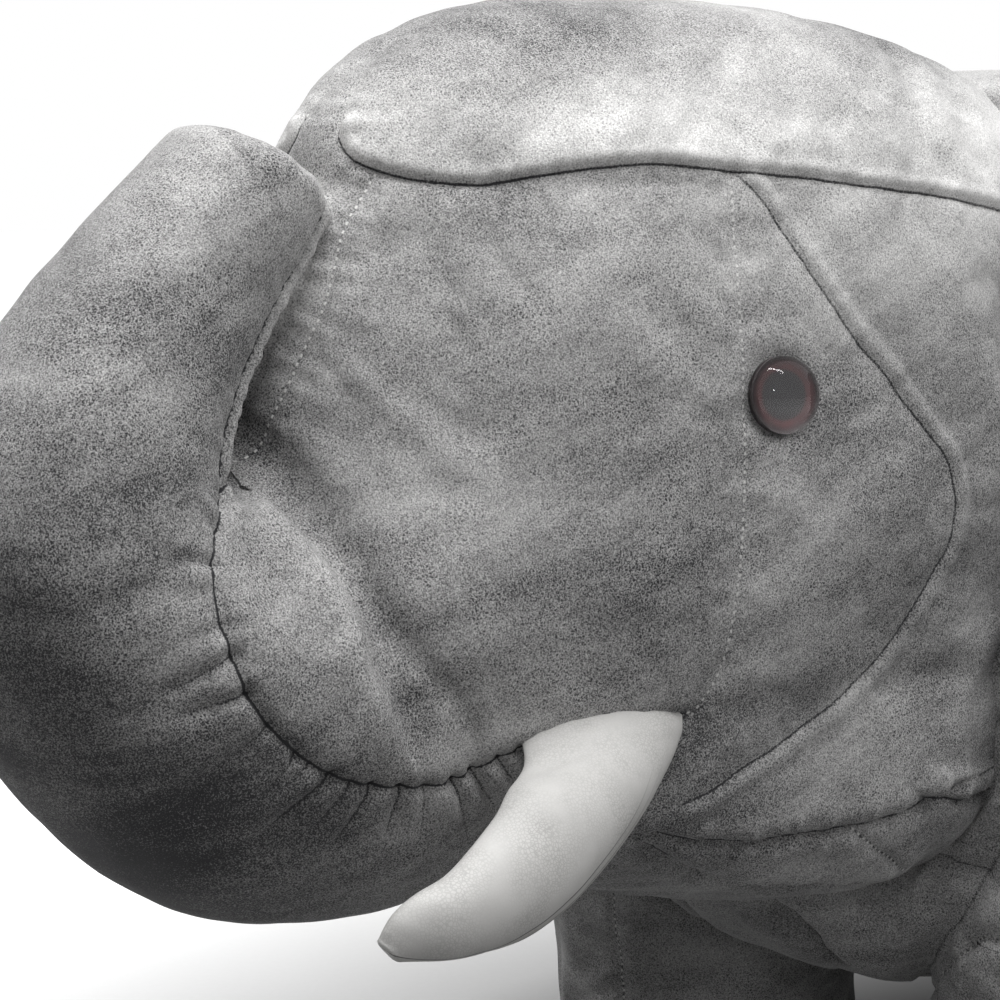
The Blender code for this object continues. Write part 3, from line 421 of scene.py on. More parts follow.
def smooth_rows(places: np.ndarray, values: np.ndarray, at: np.ndarray) -> np.ndarray:
    """Smooth values of a table, held beyond its ends.

    Args:
        places: the table's rising places.
        values: one row of values for each place.
        at: the places asked for.

    Returns:
        One row of values for each place asked for.
    """
    step = np.empty_like(values)
    step[1:-1] = (values[2:] - values[:-2]) / (places[2:] - places[:-2])[:, None]
    step[0] = (values[1] - values[0]) / (places[1] - places[0])
    step[-1] = (values[-1] - values[-2]) / (places[-1] - places[-2])
    at = np.clip(at, places[0], places[-1])
    low = np.clip(np.searchsorted(places, at, side="right") - 1, 0, len(places) - 2)
    span = (places[low + 1] - places[low])[:, None]
    t = (at[:, None] - places[low][:, None]) / span
    bend = (t**3 - 2 * t**2 + t) * span * step[low] + (t**3 - t**2) * span * step[low + 1]
    return values[low] + (values[low + 1] - values[low]) * t * t * (3 - 2 * t) + bend


def through(points: list | np.ndarray, spacing: float, closed: bool = False) -> np.ndarray:
    """A smooth line through points.

    Args:
        points: the points, in millimetres.
        spacing: about how far apart the line's points lie.
        closed: whether the line runs back to its start.

    Returns:
        The line's points.
    """
    given = np.asarray(points, float)
    count = len(given)
    runs = count if closed else count - 1
    line = []
    for index in range(runs):
        pick = [(index + k) % count if closed else min(max(index + k, 0), count - 1) for k in (-1, 0, 1, 2)]
        a, b, c, d = (given[k] for k in pick)
        steps = max(2, int(np.linalg.norm(c - b) / spacing))
        t = np.linspace(0, 1, steps, endpoint=False)[:, None]
        line.append(b + ((c - a) * t + (2 * a - 5 * b + 4 * c - d) * t**2 + (3 * b - a - 3 * c + d) * t**3) / 2)
    if not closed:
        line.append(given[-1:])
    return np.concatenate(line)


def dome(share: np.ndarray, power: float) -> np.ndarray:
    """Half width of a unit superellipse dome at shares of its height."""
    return np.maximum(0.0, 1 - np.minimum(1.0, np.abs(share)) ** power) ** (1 / power)


def superellipse(turn: np.ndarray, power: float) -> tuple[np.ndarray, np.ndarray]:
    """Points of the unit superellipse, as (cosine side, sine side)."""
    cosine, sine = np.cos(turn), np.sin(turn)
    bend = 2 / power
    return np.sign(cosine) * np.abs(cosine) ** bend, np.sign(sine) * np.abs(sine) ** bend


def unit(vectors: np.ndarray) -> np.ndarray:
    """Vectors of length one."""
    return vectors / np.maximum(np.linalg.norm(vectors, axis=-1, keepdims=True), 1e-9)


def waves(points: np.ndarray, low: float, high: float, seed: int, count: int = 28) -> np.ndarray:
    """Smooth random lumps from crossing waves.

    Args:
        points: where, in millimetres.
        low: shortest wave length.
        high: longest wave length.
        seed: which lumps.
        count: how many waves cross.

    Returns:
        Values of about -1 to 1.
    """
    random = np.random.RandomState(seed)
    total = np.zeros(len(points))
    for _ in range(count):
        way = unit(random.normal(size=3)) * math.tau / random.uniform(low, high)
        total += np.sin(points @ way + random.uniform(0, math.tau))
    return total / math.sqrt(count / 2) / 1.6


def lofted(rings: np.ndarray, start: np.ndarray, end: np.ndarray) -> tuple[np.ndarray, list]:
    """A closed surface of rings between two poles.

    Args:
        rings: rows of points round the form.
        start: the pole before the first ring.
        end: the pole after the last ring.

    Returns:
        Points and faces.
    """
    rows, around = rings.shape[:2]
    points = np.concatenate([[start], rings.reshape(-1, 3), [end]])
    faces, last = [], len(points) - 1
    for col in range(around):
        after = (col + 1) % around
        faces.append((0, 1 + after, 1 + col))
        faces.append((last, 1 + (rows - 1) * around + col, 1 + (rows - 1) * around + after))
        for row in range(rows - 1):
            low, high = 1 + row * around, 1 + (row + 1) * around
            faces.append((low + col, low + after, high + after, high + col))
    return points, faces


def turned_rings(profile: list | np.ndarray, turn: np.ndarray, x: float = 0.0, y: float = 0.0) -> np.ndarray:
    """Rings of a turned form about an upright axis.

    Args:
        profile: radius and height of each ring, in millimetres.
        turn: the turns round the axis.
        x: the axis's place to the left.
        y: the axis's place to the rear.

    Returns:
        One row of points for each ring.
    """
    return np.stack([np.stack([x + r * np.cos(turn), y + r * np.sin(turn), np.full_like(turn, z)], -1)
                     for r, z in profile])


def merged(parts: list) -> tuple[np.ndarray, list]:
    """Several (points, faces) pairs as one pair."""
    points, faces, start = [], [], 0
    for part_points, part_faces in parts:
        points.append(part_points)
        faces += [tuple(start + i for i in face) for face in part_faces]
        start += len(part_points)
    return np.concatenate(points), faces


def add_piece(name: str, points: np.ndarray, faces: list) -> bpy.types.Object:
    """Make a smooth mesh object from points in millimetres.

    Args:
        name: the piece's name.
        points: points in the source's frame.
        faces: the faces' point numbers.

    Returns:
        The object.
    """
    mesh = bpy.data.meshes.new(name)
    mesh.from_pydata(((np.asarray(points) + SOURCE_SHIFT) * MM).tolist(), [], faces)
    mesh.shade_smooth()
    made = bpy.data.objects.new(name, mesh)
    bpy.context.scene.collection.objects.link(made)
    bpy.context.view_layer.update()
    return made


def keep(piece: bpy.types.Object, name: str, values: np.ndarray) -> None:
    """Store values on a piece's points for the shader.

    Args:
        piece: the piece.
        name: the attribute's name.
        values: one number or one row of three for each point.
    """
    flat = values.ndim == 1
    kept = piece.data.attributes.new(name, "FLOAT" if flat else "FLOAT_VECTOR", "POINT")
    kept.data.foreach_set("value" if flat else "vector", values.astype(np.float32).ravel())


def settle(made: bpy.types.Object) -> None:
    """Write an object's modifiers into its mesh."""
    graph = bpy.context.evaluated_depsgraph_get()
    mesh, old = bpy.data.meshes.new_from_object(made.evaluated_get(graph)), made.data
    made.modifiers.clear()
    made.data = mesh
    bpy.data.meshes.remove(old)


@dataclass
class Seam:
    """A sewn line on the left half of a cover, in mirrored millimetres; its left side is positive."""

    name: str
    points: list
    thread: Thread | None = None
    depth: float = 1.5
    width: float = 2.0
    swell: tuple[float, float] = (0.0, 0.0)
    spread: float = 12.0
    ridge: float = 0.0
    ridge_width: float = 5.5
    weight: float = 1.0
    closed: bool = False
    taper: bool = False
    fade: float = 2.5
    # painted highlight: how much lighter the raised strip beside the seam is painted
    light: float = 0.0
    pucker: float = 0.25

    REACH = 40.0

    def lay(self, skin: BVHTree) -> None:
        """Lay the line on a cover and keep its directions.

        Args:
            skin: the left half's surface, in mirrored millimetres.
        """
        found = [skin.find_nearest(Vector(p)) for p in through(self.points, 1.0, self.closed)]
        self.line = np.array([f[0] for f in found])
        self.normal = np.array([f[1] for f in found])
        ahead = np.roll(self.line, -1, 0) - np.roll(self.line, 1, 0)
        if not self.closed:
            ahead[0], ahead[-1] = self.line[1] - self.line[0], self.line[-1] - self.line[-2]
        self.ahead = unit(ahead)
        self.across = unit(np.cross(self.normal, self.ahead))
        steps = np.linalg.norm(np.diff(self.line, axis=0), axis=1)
        self.run = np.concatenate([[0.0], np.cumsum(steps)])

    def measure(self, points: np.ndarray, normals: np.ndarray) -> tuple[np.ndarray, np.ndarray, np.ndarray]:
        """How points lie to the seam.

        Args:
            points: mirrored points in millimetres.
            normals: their mirrored normals.

        Returns:
            Signed distance, length along the seam, and a weight that fades past its ends.
        """
        away = np.full(len(points), self.REACH)
        along, weight = np.zeros(len(points)), np.zeros(len(points))
        inside = (points > self.line.min(0) - self.REACH) & (points < self.line.max(0) + self.REACH)
        near = np.flatnonzero(inside.all(1))
        square = (self.line**2).sum(1)
        for part in np.array_split(near, max(1, len(near) // 20000)):
            here = points[part]
            index = (square - 2 * here @ self.line.T).argmin(1)
            step = here - self.line[index]
            ahead = (step * self.ahead[index]).sum(1)
            side = (step * self.across[index]).sum(1)
            lift = (step * self.normal[index]).sum(1)
            past = np.zeros(len(part))
            if not self.closed:
                past = np.where(index == 0, np.maximum(-ahead, 0), 0)
                past += np.where(index == len(self.line) - 1, np.maximum(ahead, 0), 0)
            facing = np.clip((normals[part] * self.normal[index]).sum(1) * 2.0, 0, 1)
            away[part] = np.where(side < 0, -1, 1) * np.hypot(side, 0.5 * lift)
            along[part] = self.run[index] + ahead
            weight[part] = np.exp(-((past / self.fade) ** 2)) * facing
            if self.taper:
                weight[part] *= np.clip(1 - along[part] / self.run[-1], 0, 1) ** 0.6
        return away, along, weight

    def strip(self, away: np.ndarray) -> np.ndarray:
        """The share of the raised strip beside the seam, under which its allowance lies."""
        return 1 / (1 + np.exp(-(away - 0.9) * 3.5)) - 1 / (1 + np.exp(-(away - self.ridge_width) * 2.6))

    def shape(self, away: np.ndarray, along: np.ndarray) -> np.ndarray:
        """How far the cover stands out near the seam, in a groove between swollen or raised sides.

        Args:
            away: signed distances.
            along: lengths along the seam.

        Returns:
            Offsets along the normal, in millimetres.
        """
        apart = np.abs(away)
        lift = -self.depth * np.exp(-((apart / self.width) ** 2))
        swell = np.where(away > 0, self.swell[0], self.swell[1])
        lift += swell * (1 - np.exp(-apart / 2.2)) * np.exp(-((apart / self.spread) ** 2))
        lift += self.ridge * self.strip(away)
        ripple = np.sin(along * 0.71) + np.sin(along * 0.43 + 1.3) + np.sin(along * 1.13 + 0.6)
        lift += self.pucker * ripple * np.exp(-((apart - 3.5) / 4.0) ** 2) * 0.6
        return lift


class Cover:
    """A sewn cover as one closed mesh, worked on in millimetres in the source's frame."""

    FRAMES = 20

    def __init__(self, name: str, parts: list, voxel: float) -> None:
        """Join closed parts into one skin.

        Args:
            name: the piece's name.
            parts: (points, faces) pairs that overlap.
            voxel: how fine the skin's faces are.
        """
        self.piece = add_piece(name, *merged(parts))
        step = self.piece.modifiers.new("skin", "REMESH")
        step.mode, step.voxel_size = "VOXEL", voxel * MM
        settle(self.piece)

    def points(self) -> np.ndarray:
        """The skin's points."""
        flat = np.empty(len(self.piece.data.vertices) * 3, np.float32)
        self.piece.data.vertices.foreach_get("co", flat)
        return flat.reshape(-1, 3).astype(float) / MM - SOURCE_SHIFT

    def move(self, points: np.ndarray) -> None:
        """Put the skin's points elsewhere."""
        flat = ((points + SOURCE_SHIFT) * MM).astype(np.float32).ravel()
        self.piece.data.vertices.foreach_set("co", flat)
        self.piece.data.update()

    def normals(self) -> np.ndarray:
        """The skin's outward directions."""
        flat = np.empty(len(self.piece.data.vertices) * 3, np.float32)
        self.piece.data.vertex_normals.foreach_get("vector", flat)
        return flat.reshape(-1, 3).astype(float)

    def relax(self, rounds: int, shares: tuple[float, ...] = (0.5, -0.52)) -> None:
        """Even the skin out without shrinking it.

        Args:
            rounds: how often.
            shares: how far each pass moves a point towards its neighbours' middle.
        """
        mesh = self.piece.data
        pairs = np.empty(len(mesh.edges) * 2, np.int32)
        mesh.edges.foreach_get("vertices", pairs)
        first, second = pairs.reshape(-1, 2).T
        points = self.points()
        count = np.bincount(np.r_[first, second], minlength=len(points))[:, None]
        for _ in range(rounds):
            for share in shares:
                total = np.stack([np.bincount(first, points[second, k], len(points))
                                  + np.bincount(second, points[first, k], len(points)) for k in range(3)], 1)
                points += share * (total / count - points)
        self.move(points)

    def refine(self, levels: int) -> None:
        """Split each face smoothly."""
        step = self.piece.modifiers.new("finer", "SUBSURF")
        step.levels = step.render_levels = levels
        settle(self.piece)
        self.piece.data.shade_smooth()

    def half_skin(self) -> BVHTree:
        """The skin's left half for laying seams on it."""
        mesh = self.piece.data
        points = self.points()
        faces = [tuple(f.vertices) for f in mesh.polygons]
        left = points[:, 0] > -6.0
        return BVHTree.FromPolygons(points.tolist(), [f for f in faces if all(left[i] for i in f)])

    def mirrored(self) -> tuple[np.ndarray, np.ndarray]:
        """The skin's points and normals, all turned onto the left side."""
        points, normals = self.points(), self.normals()
        turned = np.where(points[:, :1] < 0, MIRROR, 1.0)
        return points * turned, normals * turned

    def stuff(self, seams: list[Seam], pressure: float, most: float, slack: float, pins: tuple = ()) -> None:
        """Fill the cover: a short cloth simulation blows the panels up between their sewn lines.

        Args:
            seams: the lines that hold the cloth.
            pressure: how hard the filling presses.
            most: the furthest that a point may move, in millimetres.
            slack: the share by which the cloth is cut larger than the form, which gives it wrinkles.
            pins: places and radii, in mirrored millimetres, where something else holds the cloth.
        """
        skin, (points, normals) = self.half_skin(), self.mirrored()
        held = np.zeros(len(points), bool)
        for seam in seams:
            seam.lay(skin)
            away, _, weight = seam.measure(points, normals)
            held |= (np.abs(away) < 3.0) & (weight > 0.3)
        for place, radius in pins:
            held |= np.linalg.norm(points - place, axis=1) < radius
        group = self.piece.vertex_groups.new(name="sewn")
        group.add(np.flatnonzero(held).tolist(), 1.0, "REPLACE")
        cloth = self.piece.modifiers.new("filling", "CLOTH")
        cloth.settings.vertex_group_mass = group.name
        cloth.settings.use_pressure = True
        cloth.settings.uniform_pressure_force = pressure
        cloth.settings.shrink_min = -slack
        cloth.settings.quality = 3
        cloth.settings.effector_weights.gravity = 0.0
        cloth.collision_settings.use_collision = False
        stage = bpy.context.scene
        for moment in range(1, self.FRAMES + 1):
            stage.frame_set(moment)
        rest = self.points()
        settle(self.piece)
        stage.frame_set(1)
        self.piece.vertex_groups.clear()
        moved = self.points() - rest
        far = np.linalg.norm(moved, axis=1, keepdims=True)
        self.move(rest + moved * np.minimum(1.0, most / np.maximum(far, 1e-6)))
        LOG.info("%s: filled, %d points held, mean move %.1f mm", self.piece.name, held.sum(), far.mean())

    def sew(self, seams: list[Seam]) -> tuple[np.ndarray, np.ndarray]:
        """Lay the seams, write their threads for the shader, and work out how they shape the cover.

        Args:
            seams: the seams of the left half, which the right half mirrors.

        Returns:
            Offsets along the normals, and the painted highlight that makes the raised strips lighter.
        """
        skin, (points, normals) = self.half_skin(), self.mirrored()
        lift, tone = np.zeros(len(points)), np.zeros(len(points))
        carried = {thread: np.tile([Seam.REACH, 0.0, 0.0], (len(points), 1)) for thread in Thread}
        for order, seam in enumerate(seams):
            seam.lay(skin)
            away, along, weight = seam.measure(points, normals)
            lift += seam.shape(away, along) * weight
            # painted highlight on the raised strips
            tone += seam.light * seam.strip(away) * weight
            if seam.thread:
                best = carried[seam.thread]
                nearer = (np.abs(away) < np.abs(best[:, 0])) & (weight > 0.01)
                row = np.stack([away, along + 37.0 * order, weight * seam.weight], 1)
                best[nearer] = row[nearer]
        for thread, values in carried.items():
            keep(self.piece, thread.value, values)
        return lift, tone

    def swell(self, lift: np.ndarray) -> None:
        """Move the skin's points along their normals."""
        self.move(self.points() + self.normals() * lift[:, None])

    def dress(self, finish: bpy.types.Material) -> bpy.types.Object:
        """Give the cover its material and return the piece."""
        self.piece.data.materials.clear()
        self.piece.data.materials.append(finish)
        return self.piece


# Sub-assemblies


@dataclass
class Body:
    """Body and legs: one cover of back, flank, belly, chest and rump panels and four leg sleeves."""

    front: float = -88.0
    rear: float = 340.0
    half_width: float = 150.0
    top: float = 390.0
    bottom: float = 89.0
    power: float = 2.4
    chest_dome: float = 148.0
    chest_height: float = 168.0
    chest_power: float = 2.8
    chest_taper: float = 1.6
    rump_dome: float = 120.0
    rump_height: float = 285.0
    rump_power: float = 2.4
    leg_x: float = 96.0
    leg_rows: tuple[float, float] = (10.0, 258.0)
    leg_profile: tuple = ((52.0, 6.3), (55.6, 7.2), (57.4, 9.4), (58.0, 13.0), (58.0, 27.0), (55.6, 38.0),
                          (53.2, 52.0), (54.4, 70.0), (58.6, 92.0), (62.0, 114.0))
    sole_profile: tuple = ((3.0, 4.4), (20.0, 4.32), (47.0, 4.35), (50.6, 4.5), (51.8, 4.95), (52.0, 5.5), (51.2, 6.0),
                           (20.0, 6.1))
    sole_seam: tuple[float, float] = (57.8, 14.5)
    haunch_top: float = 228.0
    haunch_power: float = 2.2
    tone: float = 0.03
    # painted light on the top of the back
    back_tone: float = 0.14
    chest_ring: float = -17.0
    rump_ring: float = 282.4
    seam_turn: float = math.radians(38.6)
    shoulder_line: tuple = ((67, -67, 147), (75, -61, 146), (82, -56, 145), (92, -50, 143), (106, -38, 141),
                            (120, -24, 139))
    chest_fold: tuple = ((18, -81, 134), (22, -78, 128), (27, -73, 124), (30, -66, 117), (30, -56, 109),
                         (32, -46, 105))

    def section(self, y: np.ndarray) -> tuple[np.ndarray, np.ndarray, np.ndarray]:
        """Middle height, half width and half height of the barrel at places along Y."""
        chest, rump = self.front + self.chest_dome, self.rear - self.rump_dome
        centre = (self.top + self.bottom) / 2
        ahead = dome(np.clip((chest - y) / self.chest_dome, 0, 1), self.chest_power)
        behind = dome(np.clip((y - rump) / self.rump_dome, 0, 1), self.rump_power)
        pole = np.where(y < chest, self.chest_height, self.rump_height)
        scale = np.where(y < chest, ahead, behind)
        middle = pole + (centre - pole) * scale
        half = self.half_width * np.where(y < chest, scale**self.chest_taper, scale)
        return middle, half, (self.top - self.bottom) / 2 * scale

    def point(self, y: np.ndarray, turn: np.ndarray) -> np.ndarray:
        """Points of the barrel at places along Y and turns from the top towards the left."""
        y, turn = np.broadcast_arrays(np.asarray(y, float), np.asarray(turn, float))
        middle, half, rise = self.section(y)
        up, side = superellipse(turn, self.power)
        return np.stack([side * half, y, middle + up * rise], -1)

    def depth(self, points: np.ndarray) -> np.ndarray:
        """About how far points lie outside the barrel, negative inside."""
        y = np.clip(points[..., 1], self.front + 0.01, self.rear - 0.01)
        middle, half, rise = self.section(y)
        across = np.abs(points[..., 0]) / np.maximum(half, 1)
        up = np.abs(points[..., 2] - middle) / np.maximum(rise, 1)
        out = ((across**self.power + up**self.power) ** (1 / self.power) - 1) * np.minimum(half, rise)
        return np.maximum(out, np.maximum(self.front - points[..., 1], points[..., 1] - self.rear))

    def sleeve(self) -> np.ndarray:
        """Radius and height of a leg's sleeve from the foot to the top of the haunch."""
        low = through([(r, z, 0.0) for r, z in self.leg_profile], 4.0)[:, :2]
        radius, thigh = self.leg_profile[-1]
        share = np.sin(np.linspace(0.06, math.pi / 2 - 0.05, 22))
        haunch = np.stack([radius * dome(share, self.haunch_power), thigh + (self.haunch_top - thigh) * share], 1)
        return np.concatenate([low, haunch])

    def leg(self, x: float, y: float) -> tuple[np.ndarray, list]:
        """Points and faces of one leg's sleeve."""
        turn = np.linspace(0, math.tau, 56, endpoint=False)
        rings = turned_rings(self.sleeve(), turn, x, y)
        foot = self.leg_profile[0][1]
        return lofted(rings, np.array([x, y, foot]), np.array([x, y, self.haunch_top]))

    def barrel(self) -> tuple[np.ndarray, list]:
        """Points and faces of the barrel."""
        chest, rump = self.front + self.chest_dome, self.rear - self.rump_dome
        share = np.sin(np.linspace(0.03, math.pi / 2, 34))
        places = np.concatenate([(chest - self.chest_dome * share)[::-1], np.linspace(chest, rump, 26)[1:-1],
                                 rump + self.rump_dome * share])
        places = np.clip(places, self.front + 0.05, self.rear - 0.05)
        turn = np.linspace(0, math.tau, 120, endpoint=False)
        rings = self.point(places[:, None], turn[None])
        return lofted(rings, np.array([0, self.front, self.chest_height]), np.array([0, self.rear, self.rump_height]))

    def leg_joint(self, y: float) -> list:
        """The line where a leg's sleeve meets the barrel."""
        profile = self.sleeve()
        points = []
        for turn in np.linspace(0, math.tau, 40, endpoint=False):
            line = np.stack([self.leg_x + profile[:, 0] * math.cos(turn), y + profile[:, 0] * math.sin(turn),
                             profile[:, 1]], 1)
            inside = np.flatnonzero(self.depth(line) < 0)
            if len(inside):
                points.append(line[inside[0]])
        return points

    def seams(self, neck: list) -> list[Seam]:
        """The seams and deep folds of the left half."""
        half = np.linspace(0.0, math.pi, 24)
        length = np.linspace(self.chest_ring, self.rump_ring, 22)
        low = math.pi - self.seam_turn
        made = [
            Seam("chest_ring", self.point(self.chest_ring, half), Thread.FIRST, swell=(1.0, 1.0), weight=0.6),
            Seam("rump_ring", self.point(self.rump_ring, half), Thread.FIRST, swell=(1.2, 1.2)),
            Seam("back", self.point(length, self.seam_turn), Thread.SECOND, swell=(1.0, 1.8), spread=18),
            Seam("belly", self.point(length, low), Thread.SECOND, swell=(1.0, 1.0)),
            Seam("shoulder", list(self.shoulder_line), Thread.SECOND, 1.2, 1.8, (1.0, 1.0), 10, weight=-0.55),
            Seam("chest_fold", list(self.chest_fold), Thread.SECOND, 5.0, 4.0, (2.5, 2.0), 18, weight=-0.9),
            Seam("neck", neck, None, depth=13.0, width=15.0, pucker=0.0),
        ]
        turn = np.linspace(0, math.tau, 40, endpoint=False)
        for y in self.leg_rows:
            sole = turned_rings([self.sole_seam], turn, self.leg_x, y)[0]
            made.append(Seam(f"leg_joint_{y:.0f}", self.leg_joint(y), Thread.THIRD, depth=3.5, width=4.0,
                             swell=(1.2, 1.6), spread=16, weight=-0.55, closed=True, pucker=0.5))
            made.append(Seam(f"sole_{y:.0f}", sole, Thread.FIRST, depth=1.2, swell=(0.6, 0.6), closed=True))
            front = [(self.leg_x - 12, y - 56.5, z) for z in np.linspace(15, 118, 10)]
            made.append(Seam(f"leg_{y:.0f}", front, Thread.SECOND, depth=1.1, width=1.8, swell=(0.5, 0.5),
                             weight=0.55))
        return made

    def build(self, neck: list, finish: bpy.types.Material) -> bpy.types.Object:
        """Make the body's cover.

        Args:
            neck: the line where the head meets the body.
            finish: the cover's material.

        Returns:
            The piece.
        """
        legs = [self.leg(side.value * self.leg_x, y) for side in Side for y in self.leg_rows]
        cover = Cover("body_cover", [self.barrel(), *legs], 5.0)
        cover.relax(8)
        seams = self.seams(neck)
        cover.stuff(seams, 3.0, 2.5, 0.03)
        cover.refine(1)
        lift, tone = cover.sew(seams)
        points = cover.points()
        lift += COVER - 0.8 + 0.9 * waves(points, 55, 140, 5) + 0.3 * waves(points, 16, 34, 6)
        lift = np.where(points[:, 2] < 12, np.minimum(lift, 1.0), lift)
        # painted light: the cloth is lighter towards the top of the back
        tone += self.tone + self.back_tone * np.clip((points[:, 2] - 300) / 50, 0, 1)
        keep(cover.piece, "tone", tone + 0.05 * waves(points, 120, 260, 9))
        cover.swell(lift)
        piece = cover.dress(finish)
        parts = ("back_panel", "belly_panel", "chest_panel", "rump_panel", "belly_foam", "chest_foam", "rump_foam",
                 "seat_foam")
        sides = [f"{kind}_{side.word}" for kind in ("flank_panel", "flank_foam") for side in Side]
        legs = [f"leg_{end}_{side.word}" for end in ("front", "rear") for side in Side]
        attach(piece, "stool")
        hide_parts(*parts, *sides, *legs)
        LOG.info("body cover: %d points", len(points))
        return piece

    def soles(self, finish: bpy.types.Material) -> None:
        """Make the four soles: flat pads with a turned edge, round the glides' nails."""
        turn = np.linspace(0, math.tau, 64, endpoint=False)
        low, high = self.sole_profile[0][1], self.sole_profile[-1][1]
        for end, y in zip(("front", "rear"), self.leg_rows):
            for side in Side:
                x = side.value * self.leg_x
                rings = turned_rings(self.sole_profile, turn, x, y)
                piece = add_piece(f"sole_pad_{end}_{side.word}",
                                  *lofted(rings, np.array([x, y, low]), np.array([x, y, high])))
                piece.data.materials.append(finish)
                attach(piece, "stool")
                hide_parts(f"sole_{end}_{side.word}")
        LOG.info("soles: 4")


@dataclass
class Head:
    """Head and trunk: one cover of cap, forehead, face, eye, cheek and jaw panels and the gathered trunk."""

    levels: tuple = ((212, 91, -296, -72, 20), (240, 95, -299, -70, 20), (278, 96, -279, -65, 20),
                     (320, 92, -262, -65, 20), (360, 83, -241, -65, 20))
    top: tuple[float, float] = (-150.0, 409.0)
    bottom: tuple[float, float] = (-95.0, 138.0)
    crown_power: float = 2.0
    jaw_power: float = 4.0
    chin_power: float = 1.4
    trunk: tuple = (((-150, 170), (-150, 276), 70), ((-205, 158), (-205, 280), 65), ((-250, 152), (-252, 281), 61),
                    ((-290, 162), (-268, 279), 56), ((-324, 188), (-275, 278), 51), ((-347, 221), (-279, 279), 46),
                    ((-358, 257), (-281, 281), 42), ((-352, 291), (-281, 286), 38), ((-335, 320), (-277, 297), 34),
                    ((-312, 345), (-267, 314), 30), ((-292, 362), (-254, 335), 29), ((-281, 372), (-245, 349), 27))
    eye_place: tuple[float, float] = (-144.0, 300.0)
    eye_hold: float = 21.0
    # cap tone is partly the panel's own tone and partly painted light; temple and upper tones are painted light; under
    # and valley tones are painted shade
    cap_tone: float = 0.36
    under_tone: float = -0.42
    swell_tone: float = 0.06
    valley_tone: float = -0.08
    nose_tone: float = -0.06
    temple_tone: float = 0.1
    upper_tone: float = 0.12
    gusset_turn: float = math.radians(48)
    brow_line: tuple = ((0, -210, 396), (3, -220, 390), (6, -229, 383), (9, -236, 375))
    cap_line: tuple = ((9, -236, 375), (10, -238, 371), (15, -238, 366),
                       (22, -236, 363), (33, -229, 360), (45, -217, 359), (53, -203, 361), (60, -188, 363),
                       (67, -171, 364), (74, -151, 362), (79, -128, 360), (83, -104, 357), (85, -77, 354),
                       (86, -52, 350), (82, -22, 346), (70, 2, 342))
    forehead_line: tuple = ((22, -235, 360), (21, -239, 354), (20, -244, 345), (22, -249, 334), (23, -253, 325),
                            (22, -259, 315), (20, -264, 303), (17, -269, 293), (14, -273, 286))
    eye_line: tuple = ((74, -150, 362), (82, -154, 327), (86, -156, 299), (88, -157, 277), (89, -159, 255),
                       (87, -162, 233), (85, -165, 222), (83, -171, 213))
    cheek_line: tuple = ((74, -146, 359), (77, -141, 353), (80, -136, 344), (85, -128, 331), (90, -116, 314),
                         (92, -107, 305), (94, -99, 295), (95, -91, 286), (96, -84, 278), (96, -81, 269),
                         (96, -81, 260), (96, -83, 253), (95, -87, 247), (94, -94, 237), (92, -103, 225),
                         (90, -112, 216), (89, -122, 209), (87, -133, 204), (86, -143, 199), (83, -153, 195),
                         (81, -161, 191), (78, -170, 188))
    trunk_line: tuple = ((15, -284, 284), (27, -290, 283), (42, -302, 267), (47, -305, 255), (49, -304, 245),
                         (52, -299, 229), (55, -289, 216), (57, -277, 207), (58, -262, 202), (61, -240, 200),
                         (70, -222, 207), (78, -205, 211), (81, -190, 212), (82, -175, 213))
    ridge_line: tuple = ((15, -274, 284), (22, -273, 279), (30, -272, 272), (39, -269, 263), (47, -267, 254),
                         (53, -265, 243), (57, -264, 232), (59, -261, 224))
    jaw_line: tuple = ((66, -190, 179), (69, -183, 178), (72, -176, 178), (75, -164, 175), (77, -153, 173),
                       (80, -141, 171), (83, -127, 171), (86, -112, 171), (88, -96, 172), (89, -83, 174),
                       (90, -77, 176), (90, -66, 179))
    band_line: tuple = ((68, -171, 170), (66, -157, 162), (65, -135, 154), (71, -108, 150),
                        (73, -86, 147))
    band_seam: tuple = ((86, -109, 170), (85, -103, 166), (84, -97, 162), (83, -90, 158), (79, -80, 152))
    ear_fold: tuple = ((89, -82, 176), (89, -79, 175), (89, -72, 174), (89, -64, 172), (86, -50, 172), (83, -41, 173))
    ear_tuck: tuple = ((90, -77, 178), (90, -73, 179), (90, -64, 179), (88, -52, 180), (86, -44, 181))
    gathers: tuple = ((24, 0.5, 9), (33, 0.4, 8), (42, 0.7, 10), (57, 0.6, 8), (65.6, 1.3, 13), (75.8, 1.4, 13),
                      (87, 0.9, 15), (98.4, 1.2, 12), (103.5, 0.9, 9), (109.7, 1.7, 17), (117.2, 1.1, 12),
                      (123.5, 1.6, 16), (132.7, 1.5, 13), (140.3, 1.0, 12), (148.9, 1.7, 16), (155.2, 1.5, 14),
                      (163, 1.3, 12), (170, 1.0, 10))

    def section(self, z: np.ndarray) -> np.ndarray:
        """Half width, front, widest place and rear of the head at heights."""
        table = np.array(self.levels, float)
        z = np.atleast_1d(np.asarray(z, float))
        rows = smooth_rows(table[:, 0], table[:, 1:], z)
        for level, (pole_y, pole), power, chin, past in (
                (table[0], self.bottom, self.jaw_power, self.chin_power, z < table[0, 0]),
                (table[-1], self.top, self.crown_power, self.crown_power, z > table[-1, 0])):
            share = (z - level[0]) / (pole - level[0])
            scale, front = dome(share, power), dome(share, chin)
            ends = np.stack([level[1] * scale, *(pole_y + (value - pole_y) * part
                                                 for value, part in zip(level[2:], (front, scale, scale)))], 1)
            rows = np.where(past[:, None], ends, rows)
        return rows

    def point(self, turn: np.ndarray, z: np.ndarray) -> np.ndarray:
        """Points of the head at turns from the front towards the left, and heights."""
        turn, z = np.broadcast_arrays(np.asarray(turn, float), np.asarray(z, float))
        half, front, widest, rear = self.section(z.ravel()).T.reshape(4, *z.shape)
        reach = np.where(np.cos(turn) > 0, widest - front, rear - widest)
        return np.stack([half * np.sin(turn), widest - reach * np.cos(turn), z], -1)

